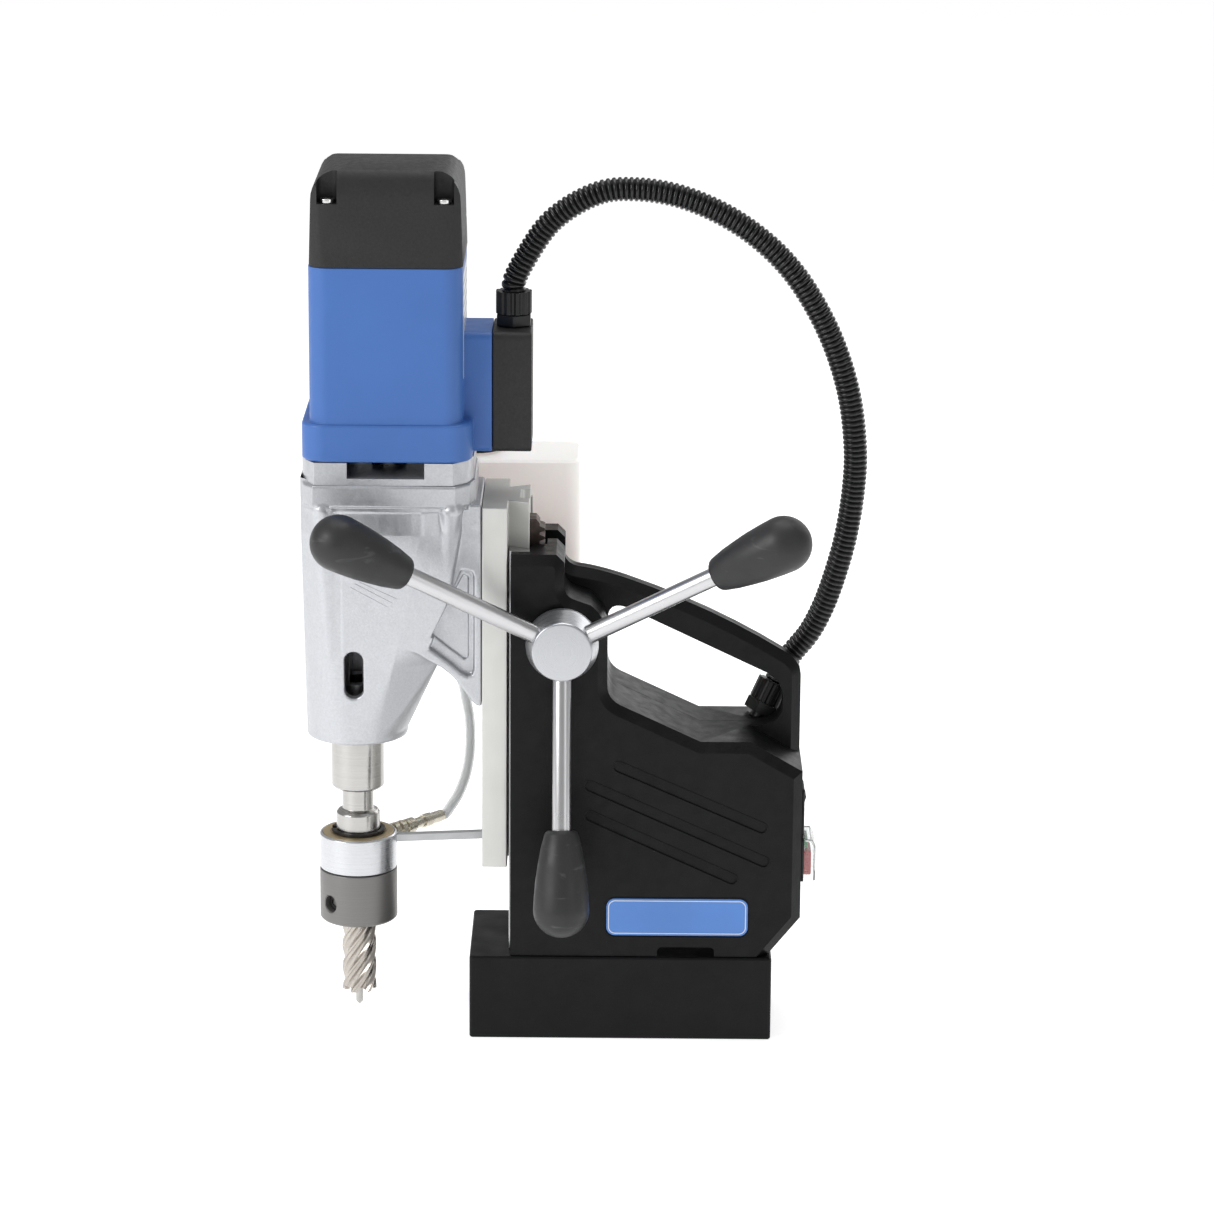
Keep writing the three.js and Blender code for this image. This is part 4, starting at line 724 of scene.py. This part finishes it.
def make_cooling_ring():
    ring = [(RING_BORE, 86), (20.8, 86), (21.2, 86.4), (21.2, 105.2), (20.4, 106), (19.9, 106), (19.7, 105.4),
            (RING_BORE, 105.4)]
    lathe("cooling_ring_turned", ring, at_spindle(0), (0, 0, 1), SURFACES["turned_aluminium"],
          "carriage", "turned_aluminium", 96, 0.25, ["cooling_ring"])
    seal = [(RING_BORE, 105.45), (19.5, 105.45), (19.5, 106), (19, 106.2), (15.4, 106.2), (15.1, 105.8),
            (RING_BORE, 105.8)]
    tan = turned("seal_face", (0.47, 0.37, 0.22), 0.42, SPINDLE, 2, 0.6)
    lathe("ring_seal_turned", seal, at_spindle(0), (0, 0, 1), tan,
          "carriage", "seal_bronze", 96, 0.15, ["ring_seal"])


def make_holder():
    steel = turned("blackened_holder", (0.20, 0.195, 0.19), 0.42, SPINDLE, 2, 0.6)
    body = [(PIN_BORE, 56.3), (20, 56.3), (21.3, 57.6), (21.3, 85), (20.9, 85.4), (PIN_BORE, 85.4)]
    piece = lathe("holder_body", body, at_spindle(0), (0, 0, 1), steel, "spindle", "dark_steel", 128, 0.3)
    set_screw_hole = [(0, 17), (4.6, 17), (4.6, 20.4), (5.2, 21.2), (5.2, 24), (0, 24)]
    for degrees in (225, 135):
        angle = math.radians(degrees)
        out = Vector((math.cos(angle), math.sin(angle), 0))
        hole = turn_profile(set_screw_hole, at_spindle(68), out, 40)
        cutter = new_piece("hole_tool", *hole, steel, None, "dark_steel")
        cut_away(piece, cutter)


def cut_away(piece, tool):
    modifier = piece.modifiers.new("cut", "BOOLEAN")
    modifier.operation = "DIFFERENCE"
    modifier.solver = "EXACT"
    modifier.object = tool
    depsgraph = bpy.context.evaluated_depsgraph_get()
    mesh = bpy.data.meshes.new_from_object(piece.evaluated_get(depsgraph))
    piece.modifiers.clear()
    piece.data = mesh
    mesh.shade_smooth()
    mesh.set_sharp_from_angle(angle=math.radians(32))
    bpy.data.objects.remove(tool)


CUTTER = {"bottom": 14.2, "top": 57, "flutes": 6, "twist": math.radians(4.7)}
# Radius at a share of the way round from one cutting edge to the next: a narrow margin, a
# relieved back and a hollow flute.
FLUTE = ((0, 9.4), (0.13, 9.4), (0.16, 8.9), (0.38, 8.55), (0.42, 8.0), (0.55, 7.3), (0.72, 7.15),
         (0.88, 7.7), (0.96, 8.7), (1, 9.4))


def make_cutter():
    """Six helical lands round a core, with a hollow flute in front of each."""
    bottom, top = CUTTER["bottom"], CUTTER["top"]
    sides, layers = 180, 90
    shares, reaches = zip(*FLUTE)
    vertices = []
    for layer in range(layers + 1):
        height = bottom + (top - bottom) * layer / layers
        turned_by = CUTTER["twist"] * (height - bottom)
        for k in range(sides):
            angle = 2 * math.pi * k / sides
            share = (CUTTER["flutes"] * angle / (2 * math.pi)) % 1.0
            radius = float(np.interp(share, shares, reaches))
            spoke = Vector((math.cos(angle + turned_by), math.sin(angle + turned_by), 0))
            vertices.append(at_spindle(height) + spoke * radius * MM)
    faces = rings_to_faces(layers + 1, sides)
    faces.append(tuple(reversed(range(sides))))
    faces.append(tuple(layers * sides + k for k in range(sides)))
    piece = new_piece("cutter_fluted", vertices, faces, cutter_steel(), "spindle", "machined_steel", 25)
    bore = turn_profile([(0, 8), (5.9, 8), (5.9, 46), (0, 46)], at_spindle(0), (0, 0, 1), 48)
    cut_away(piece, new_piece("bore_tool", *bore, SURFACES["machined_steel"], None, "machined_steel"))
    for i in range(CUTTER["flutes"]):
        cut_away(piece, gullet(2 * math.pi * i / CUTTER["flutes"]))
    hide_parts("annular_cutter")


def gullet(angle):
    """The notch in front of one cutting edge, at the lower rim."""
    corners = [(3, -0.4, -4), (12, -0.4, -4), (12, 3.4, -4), (3, 3.4, -4),
               (3, -0.4, 3.2), (12, -0.4, 2.2), (12, 3.4, 0.6), (3, 3.4, 2)]
    spin = Matrix.Rotation(angle + 0.5, 3, "Z")
    vertices = [at_spindle(CUTTER["bottom"]) + spin @ Vector(c) * MM for c in corners]
    faces = [(3, 2, 1, 0), (4, 5, 6, 7), (0, 1, 5, 4), (1, 2, 6, 5), (2, 3, 7, 6), (3, 0, 4, 7)]
    return new_piece("gullet_tool", vertices, faces, SURFACES["machined_steel"], None, "machined_steel")


def make_pilot():
    pin = [(0, 4.8), (0.4, 5), (2, 6.7), (2, 86), (0, 86)]
    lathe("pilot_pin_ground", pin, at_spindle(0), (0, 0, 1), SURFACES["machined_steel"],
          "pilot_pin", "machined_steel", 40, 0.15, ["pilot_pin"])


make_spindle()
make_cooling_ring()
make_holder()
make_cutter()
make_pilot()


# ---------------------------------------------------------------- gearbox casting

# Everything in this section is in millimetres. Each shape is a field: the distance to its
# surface, negative inside, over arrays of X, Y and Z.

def merge(a, b, radius):
    """Joins two fields with a fillet."""
    blend = np.maximum(radius - np.abs(a - b), 0) / radius
    return np.minimum(a, b) - blend * blend * radius / 4


def carve(a, tool, radius):
    """Takes a tool out of a field, and softens the edge that it leaves."""
    return -merge(-a, tool, radius)


def polygon_field(x, y, corners):
    """Distance to a closed outline. Its corners may vary with height."""
    inside = np.zeros(np.broadcast(x, y).shape, dtype=bool)
    nearest = np.full(inside.shape, 1e9)
    for (ax, ay), (bx, by) in zip(corners, corners[1:] + corners[:1]):
        ex, ey = bx - ax, by - ay
        px, py = x - ax, y - ay
        share = np.clip((px * ex + py * ey) / np.maximum(ex * ex + ey * ey, 1e-6), 0, 1)
        nearest = np.minimum(nearest, np.hypot(px - ex * share, py - ey * share))
        side = px * ey - py * ex
        inside ^= ((ay <= y) & (y < by) & (side < 0)) | ((by <= y) & (y < ay) & (side > 0))
    return np.where(inside, -nearest, nearest)


def prism_field(outline, across, low, high, softness):
    """A field for an outline that runs between two planes, with softened edges."""
    ends = np.abs(across - (low + high) / 2) - (high - low) / 2
    return -merge(-outline, -ends, softness)


def loft_field(x, y, z, levels):
    """A field lofted through levels of (height, rounding, corners). The corners are those of y <= 0."""
    heights = [level[0] for level in levels]
    rounding = np.interp(z, heights, [level[1] for level in levels])
    half = []
    for i in range(len(levels[0][2])):
        half.append([np.interp(z, heights, [level[2][i][k] for level in levels]) for k in range(2)])
    corners = half + [[cx, -cy] for cx, cy in reversed(half)]
    return polygon_field(x, y, corners) - rounding


def rib_field(x, y, z, foot, top, radii):
    """A round rib that swells from one radius to another between two points."""
    foot, axis = np.array(foot), np.subtract(top, foot)
    px, py, pz = x - foot[0], y - foot[1], z - foot[2]
    share = np.clip((px * axis[0] + py * axis[1] + pz * axis[2]) / axis.dot(axis), 0, 1)
    away = np.sqrt((px - axis[0] * share) ** 2 + (py - axis[1] * share) ** 2 + (pz - axis[2] * share) ** 2)
    return away - (radii[0] + (radii[1] - radii[0]) * share)


AXIS_X = SPINDLE.x / MM
FOOT_LEVEL = (166, 27.5, [(AXIS_X, 0)] * 4)
BODY_LEVELS = [
    FOOT_LEVEL,
    (284, 1.5, [(-171, -31), (-163, -40.5), (-108, -40.5), (-89, -27)]),
    (320, 1.5, [(-171, -31), (-163, -40.5), (-108, -40.5), (-89, -27)]),
]
FACET_LEVELS = [
    FOOT_LEVEL,
    (208, 2, [(-150, -31), (-124.4, -31), (-101.4, -19), (-101.4, -6)]),
    (222, 2, [(-150, -33), (-121, -33), (-98.3, -30), (-98.3, -6)]),
    (250, 1.5, [(-150, -36.6), (-114.2, -36.6), (-94.3, -33.5), (-94.3, -6)]),
    (284, 1.2, [(-150, -40.9), (-112.6, -40.9), (-88.6, -37.5), (-88.6, -6)]),
    (320, 1.2, [(-150, -40.9), (-112.6, -40.9), (-88.6, -37.5), (-88.6, -6)]),
]
COLLAR = [(-173.1, -24), (-170.5, -36), (-165.6, -44), (-89.7, -44), (-82.2, -36), (-79.2, -24)]
COLLAR_OUTLINE = COLLAR + [(cx, -cy) for cx, cy in reversed(COLLAR)]
WEB = [(-125, 225), (-104, 212), (-97, 208.2), (-91, 203), (-85.5, 195.6), (-80.5, 189), (-78, 187.2),
       (-76, 187), (-76, 299), (-125, 299)]
WEB_POCKET = [(-104, 219), (-97.5, 214.2), (-91.5, 209.5), (-87, 205.6), (-83.5, 203.8), (-81, 204.6),
              (-80.1, 208), (-80.1, 259), (-81.2, 261.7), (-83.5, 262.5), (-87, 262.5)]
POCKET_FLOOR = [(-103, 226), (-95.1, 219.5), (-85.5, 212.2), (-83.6, 212.6), (-83.2, 214.5), (-83.2, 258),
                (-86, 259.5)]
CAST = {
    "foot": 162.5, "collar": 299.5, "step": 296.6, "top": 311, "web_half": 33, "recess": 28, "floor": 26.6,
    "slot_low": 195.2, "slot_high": 212, "slot_radius": 5, "bore": 15.1, "bore_top": 240,
    "wall": 6, "hollow_from": 186,
}
# Each rib: its thin end (X, distance from the middle, Z), and the X of its thick end.
RIBS = [((-157.2, 30.6, 214), -160.2), ((-95.6, 30.5, 258), -91.5)]
RIB_TOP = {"away": 39.2, "height": 297, "radii": (2.2, 6)}
TICKS = [
    ((-146.1, 254.4), (-125.8, 243)),
    ((-143.6, 256.4), (-123.4, 245.4)),
    ((-141.2, 257.4), (-121, 247.8)),
]
TICK_RADIUS = 0.00055
FRONT_SLOPE = 0.1229  # of the casting's front face, from the foot up
CASTING_BOX = ((-175.5, -46.5, 160.5), (-73.5, 46.5, 313))
CASTING_STEP, QUICK_STEP = 1.1, 1.6


def casting_body(x, y, z):
    """The tapered body with its facets, its ribs, the web towards the carriage and the collar."""
    body = merge(loft_field(x, y, z, BODY_LEVELS), loft_field(x, y, z, FACET_LEVELS), 0.4)
    body = -merge(-body, z - CAST["foot"], 2.2)
    outline = polygon_field(x, y, COLLAR_OUTLINE)
    collar = prism_field(outline, z, CAST["collar"], CAST["top"], 1.1)
    under = prism_field(outline + 1.5, z, CAST["step"], CAST["top"], 1.0)
    web = prism_field(polygon_field(x, z, WEB), y, -CAST["web_half"], CAST["web_half"], 1.2)
    solid = merge(body, web, 2.5)
    for thin_end, top_x in RIBS:
        thick_end = (top_x, RIB_TOP["away"], RIB_TOP["height"])
        solid = merge(solid, rib_field(x, np.abs(y), z, thin_end, thick_end, RIB_TOP["radii"]), 2.5)
    solid = merge(solid, under, 1.5)
    return merge(solid, collar, 0.8)


def casting_field(x, y, z):
    """The casting with its pockets, drift slot, spindle bore and inside taken out."""
    depth = np.abs(y)
    recess = prism_field(polygon_field(x, z, WEB_POCKET), depth, CAST["recess"], 50, 1.0)
    solid = carve(casting_body(x, y, z), recess, 1.4)
    floor = prism_field(polygon_field(x, z, POCKET_FLOOR), depth, CAST["floor"], 50, 0.8)
    solid = carve(solid, floor, 0.8)
    slot = np.hypot(x - AXIS_X, z - np.clip(z, CAST["slot_low"], CAST["slot_high"])) - CAST["slot_radius"]
    solid = carve(solid, prism_field(slot, y, -60, -10, 0.2), 1.4)
    bore = np.hypot(x - AXIS_X, y) - CAST["bore"]
    solid = carve(solid, prism_field(bore, z, 150, CAST["bore_top"], 0.2), 0.8)
    hollow = loft_field(x, y, z, BODY_LEVELS) + CAST["wall"]
    return carve(solid, prism_field(hollow, z, CAST["hollow_from"], 330, 0.5), 0.5)


def grow_mesh(field, low, high, step):
    """Meshes the surface of a field with one vertex in each cell that it crosses."""
    axes = [np.arange(a, b + step, step, dtype=np.float32) for a, b in zip(low, high)]
    x, y, z = np.meshgrid(*axes, indexing="ij")
    values = field(x, y, z)
    shape = [n - 1 for n in values.shape]
    total, hits = np.zeros((*shape, 3)), np.zeros(shape)
    for axis in range(3):
        for shift_a in (0, 1):
            for shift_b in (0, 1):
                begin = [0, 0, 0]
                begin[(axis + 1) % 3], begin[(axis + 2) % 3] = shift_a, shift_b
                finish = list(begin)
                finish[axis] = 1
                a = values[tuple(slice(s, s + n) for s, n in zip(begin, shape))]
                b = values[tuple(slice(s, s + n) for s, n in zip(finish, shape))]
                crossed = (a < 0) != (b < 0)
                share = np.where(crossed, a / np.where(crossed, a - b, 1), 0)
                for k in range(3):
                    total[..., k] += np.where(crossed, share if k == axis else begin[k], 0)
                hits += crossed
    used = np.argwhere(hits > 0)
    number = np.full(shape, -1)
    number[tuple(used.T)] = np.arange(len(used))
    offset = total[tuple(used.T)] / hits[tuple(used.T)][:, None]
    vertices = np.array(low) + (used + offset) * step
    quads = []
    for axis in range(3):
        u, v = (axis + 1) % 3, (axis + 2) % 3
        inner = [slice(0, n) for n in shape]
        inner[u], inner[v] = slice(1, shape[u]), slice(1, shape[v])
        a = values[tuple(inner)]
        ahead = list(inner)
        ahead[axis] = slice(1, shape[axis] + 1)
        b = values[tuple(ahead)]
        for sign in (True, False):
            cells = np.argwhere((a < 0) & (b >= 0) if sign else (a >= 0) & (b < 0))
            cells += [s.start for s in inner]
            ring = [(0, 0), (-1, 0), (-1, -1), (0, -1)] if sign else [(0, 0), (0, -1), (-1, -1), (-1, 0)]
            corners = []
            for du, dv in ring:
                near = cells.copy()
                near[:, u] += du
                near[:, v] += dv
                corners.append(number[tuple(near.T)])
            quads.append(np.stack(corners, axis=1))
    return settle(field, vertices, step), np.concatenate(quads)


def slope_of(field, points):
    steps = np.eye(3) * 0.05
    columns = [field(*(points + s).T) - field(*(points - s).T) for s in steps]
    slope = np.stack(columns, axis=1) / 0.1
    return slope / np.maximum(np.linalg.norm(slope, axis=1, keepdims=True), 1e-6)


def settle(field, points, step):
    """Moves the vertices onto the surface itself, in short steps."""
    for _ in range(3):
        reach = np.clip(field(*points.T), -0.3 * step, 0.3 * step)
        points = points - slope_of(field, points) * reach[:, None]
    return points


def make_gearbox_casting():
    vertices, faces = grow_mesh(casting_field, *CASTING_BOX, CASTING_STEP)
    mesh = bpy.data.meshes.new("gearbox_cast")
    mesh.from_pydata((vertices * MM).tolist(), [], faces.tolist())
    mesh.materials.append(SURFACES["cast_silver"])
    mesh.shade_smooth()
    mesh.normals_split_custom_set_from_vertices(slope_of(casting_field, vertices).tolist())
    piece = bpy.data.objects.new("gearbox_cast", mesh)
    bpy.context.scene.collection.objects.link(piece)
    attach(piece, "carriage")
    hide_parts("gearbox_casting")


def on_front_face(x, z):
    """A point just inside the casting's front face."""
    foot_height, foot_radius, _ = FOOT_LEVEL
    return mm(x, -(foot_radius + (z - foot_height) * FRONT_SLOPE) + 0.1, z)


def make_ticks():
    """Fine raised lines on the front of the casting."""
    for i, ends in enumerate(TICKS, 1):
        path = smooth_path([on_front_face(*end) for end in ends], 0.002)
        vertices, faces = sweep(path, [TICK_RADIUS] * len(path), 12)
        new_piece(f"casting_tick_{i}", vertices, faces, SURFACES["cast_silver"],
                  "carriage", "cast_silver", 60)


make_gearbox_casting()
make_ticks()


# ---------------------------------------------------------------- screws, labels and other small pieces

GEARBOX_SCREWS = {"x": (-161.7, -91), "y": 40.6, "z": 297, "radius": 3.3, "height": 2.6}
CAP_SCREWS = {"x": (-156.6, -95.3), "y": 35.9, "z": 461.4, "radius": 3.9, "height": 2.4}
SOCKET_SHARE, SOCKET_DEPTH = 0.52, 1.6


def socket_screws(name, size, direction):
    """Four cap screws' heads with hexagon sockets. Their height is where the heads start."""
    radius, top = size["radius"], size["height"]
    head = [(0, 0), (radius, 0), (radius, top), (0, top)]
    wide, floor = radius * SOCKET_SHARE, top - SOCKET_DEPTH
    socket = [(0, floor), (wide, floor), (wide, top + 1), (0, top + 1)]
    steel = SURFACES["screw_zinc"]
    places = [(x, y) for y in (-size["y"], size["y"]) for x in size["x"]]
    for i, (x, y) in enumerate(places, 1):
        centre = mm(x, y, size["z"])
        piece = lathe(f"{name}_{i}", head, centre, direction, steel, "carriage", "machined_steel", 40, 0.4)
        tool = turn_profile(socket, centre, direction, 6)
        cut_away(piece, new_piece("socket_tool", *tool, steel, None, "machined_steel"))


STOP_BAR = {"tip": (-124.6, 0.8, 102), "root": (-73.2, 8, 102), "size": 4.2, "edge": 0.35}


def make_stop_bar():
    """A square bar with softened edges, from the carriage to the cooling ring."""
    look = Look("stop_bar_zinc", (0.47, 0.48, 0.49), 0.36, 0.7)
    look.mottle(160, 0.08).polish(200, 0.06).bump(1400, 0.00002)
    start, end = mm(*STOP_BAR["tip"]), mm(*STOP_BAR["root"])
    _, side, up = axes_about(end - start)
    half = STOP_BAR["size"] / 2 * MM
    vertices = []
    for point in (start, end):
        for a, b in ((-1, 1), (1, 1), (1, -1), (-1, -1)):
            vertices.append(point + side * a * half + up * b * half)
    faces = [(0, 1, 2, 3), (7, 6, 5, 4), (4, 5, 1, 0), (5, 6, 2, 1), (6, 7, 3, 2), (7, 4, 0, 3)]
    piece = new_piece("stop_bar", vertices, faces, look.material, "carriage", "dark_steel")
    edges = piece.modifiers.new("soft_edges", "BEVEL")
    edges.width = STOP_BAR["edge"] * MM
    edges.segments = 3
    edges.harden_normals = True
    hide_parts("stop_rod")


FACE_Y = -38  # the near face of the frame
GROOVES = [((-1.6, 155.2), (76, 121.2)), ((-17.2, 144.3), (77.4, 101.9)), ((-17.1, 127.3), (60.2, 92))]
GROOVE_RADIUS = 3.1
PLATE_RECESS = (-8.6, 69.9, 58.5, 81)  # left, right, bottom, top
PLATE_BORDER = (-6.9, 68.2, 60.2, 79.3)
BORDER = {"width": 0.5, "thickness": 0.12, "y": -37.9, "radius": 3.9}


def rim_loop(name, outline_points, radius):
    """A thin raised bead that follows a closed outline on the near face of the frame."""
    count = len(outline_points)
    vertices, sides = [], 8
    for i, (x, z) in enumerate(outline_points):
        before, after = outline_points[i - 1], outline_points[(i + 1) % count]
        along = Vector((after[0] - before[0], 0, after[1] - before[1])).normalized()
        out = along.cross(Vector((0, 1, 0)))
        for k in range(sides):
            angle = 2 * math.pi * k / sides
            spoke = out * math.cos(angle) + Vector((0, math.sin(angle), 0))
            vertices.append(mm(x, FACE_Y, z) + spoke * radius * MM)
    faces = [face[::-1] for face in rings_to_faces(count, sides, closed=True)]
    surface = SURFACES["satin_black_casting"]
    new_piece(name, vertices, faces, surface, "frame", "satin_black_casting", 70)


def slot_points(start, end, radius, steps=12):
    start, end = Vector(start), Vector(end)
    angle = math.atan2(end.y - start.y, end.x - start.x)
    points = []
    for centre, turn in ((end, -math.pi / 2), (start, math.pi / 2)):
        for i in range(steps + 1):
            a = angle + turn + math.pi * i / steps
            points.append((centre.x + radius * math.cos(a), centre.y + radius * math.sin(a)))
    return points


def rounded_rectangle(left, right, bottom, top, radius, steps=8):
    points = []
    for cx, cz, turn in ((right - radius, bottom + radius, -90), (right - radius, top - radius, 0),
                         (left + radius, top - radius, 90), (left + radius, bottom + radius, 180)):
        for i in range(steps + 1):
            a = math.radians(turn + 90 * i / steps)
            points.append((cx + radius * math.cos(a), cz + radius * math.sin(a)))
    return points


def make_face_beads():
    for i, (start, end) in enumerate(GROOVES, 1):
        rim_loop(f"groove_rim_{i}", slot_points(start, end, GROOVE_RADIUS), 0.32)
    rim_loop("nameplate_rim", rounded_rectangle(*PLATE_RECESS, 5.3), 0.35)


def make_nameplate_border():
    """A thin pale frame on the nameplate."""
    left, right, bottom, top = PLATE_BORDER
    width, back = BORDER["width"], BORDER["y"]
    outer = rounded_rectangle(left, right, bottom, top, BORDER["radius"])
    inner = rounded_rectangle(left + width, right - width, bottom + width, top - width,
                              BORDER["radius"] - width)
    vertices = []
    for y in (back, back - BORDER["thickness"]):
        vertices += [mm(x, y, z) for x, z in outer + inner]
    n = len(outer)
    faces = []
    for i in range(n):
        j = (i + 1) % n
        faces.append((2 * n + i, 2 * n + j, 3 * n + j, 3 * n + i))
        faces.append((i, n + i, n + j, j))
        faces.append((i, j, 2 * n + j, 2 * n + i))
        faces.append((n + i, 3 * n + i, 3 * n + j, n + j))
    new_piece("nameplate_border", vertices, faces, label_pale(), "frame", "blue_label")


LABEL = {"x": -85.75, "half_width": 28, "bottom": 366, "top": 422, "radius": 1.5}
RULES = {"first": 374, "last": 418, "pitch": 6, "half_width": 24, "height": 0.9}


def side_plate(name, points, near, far, surface):
    """A thin plate with an outline in Y and Z, between two distances from the motor's side."""
    count = len(points)
    vertices = [mm(LABEL["x"] + away, y, z) for away in (near, far) for y, z in points]
    faces = [tuple(reversed(range(count))), tuple(range(count, 2 * count))]
    for i in range(count):
        j = (i + 1) % count
        faces.append((i, j, count + j, count + i))
    new_piece(name, vertices, faces, surface, "carriage", "plate_aluminium")


def make_rating_label():
    """A blank silver label with plain rules on the right side of the motor."""
    half = LABEL["half_width"]
    plate = rounded_rectangle(-half, half, LABEL["bottom"], LABEL["top"], LABEL["radius"])
    side_plate("rating_label", plate, -0.1, 0.12, label_pale())
    ink, wide = label_print(), RULES["half_width"]
    for i, z in enumerate(range(RULES["first"], RULES["last"], RULES["pitch"]), 1):
        above = z + RULES["height"]
        rule = [(-wide, z), (wide, z), (wide, above), (-wide, above)]
        side_plate(f"rating_rule_{i}", rule, 0.1, 0.2, ink)


socket_screws("gearbox_screw", GEARBOX_SCREWS, (0, 0, -1))
socket_screws("cap_screw", CAP_SCREWS, (0, 0, 1))
make_stop_bar()
make_face_beads()
make_nameplate_border()
make_rating_label()
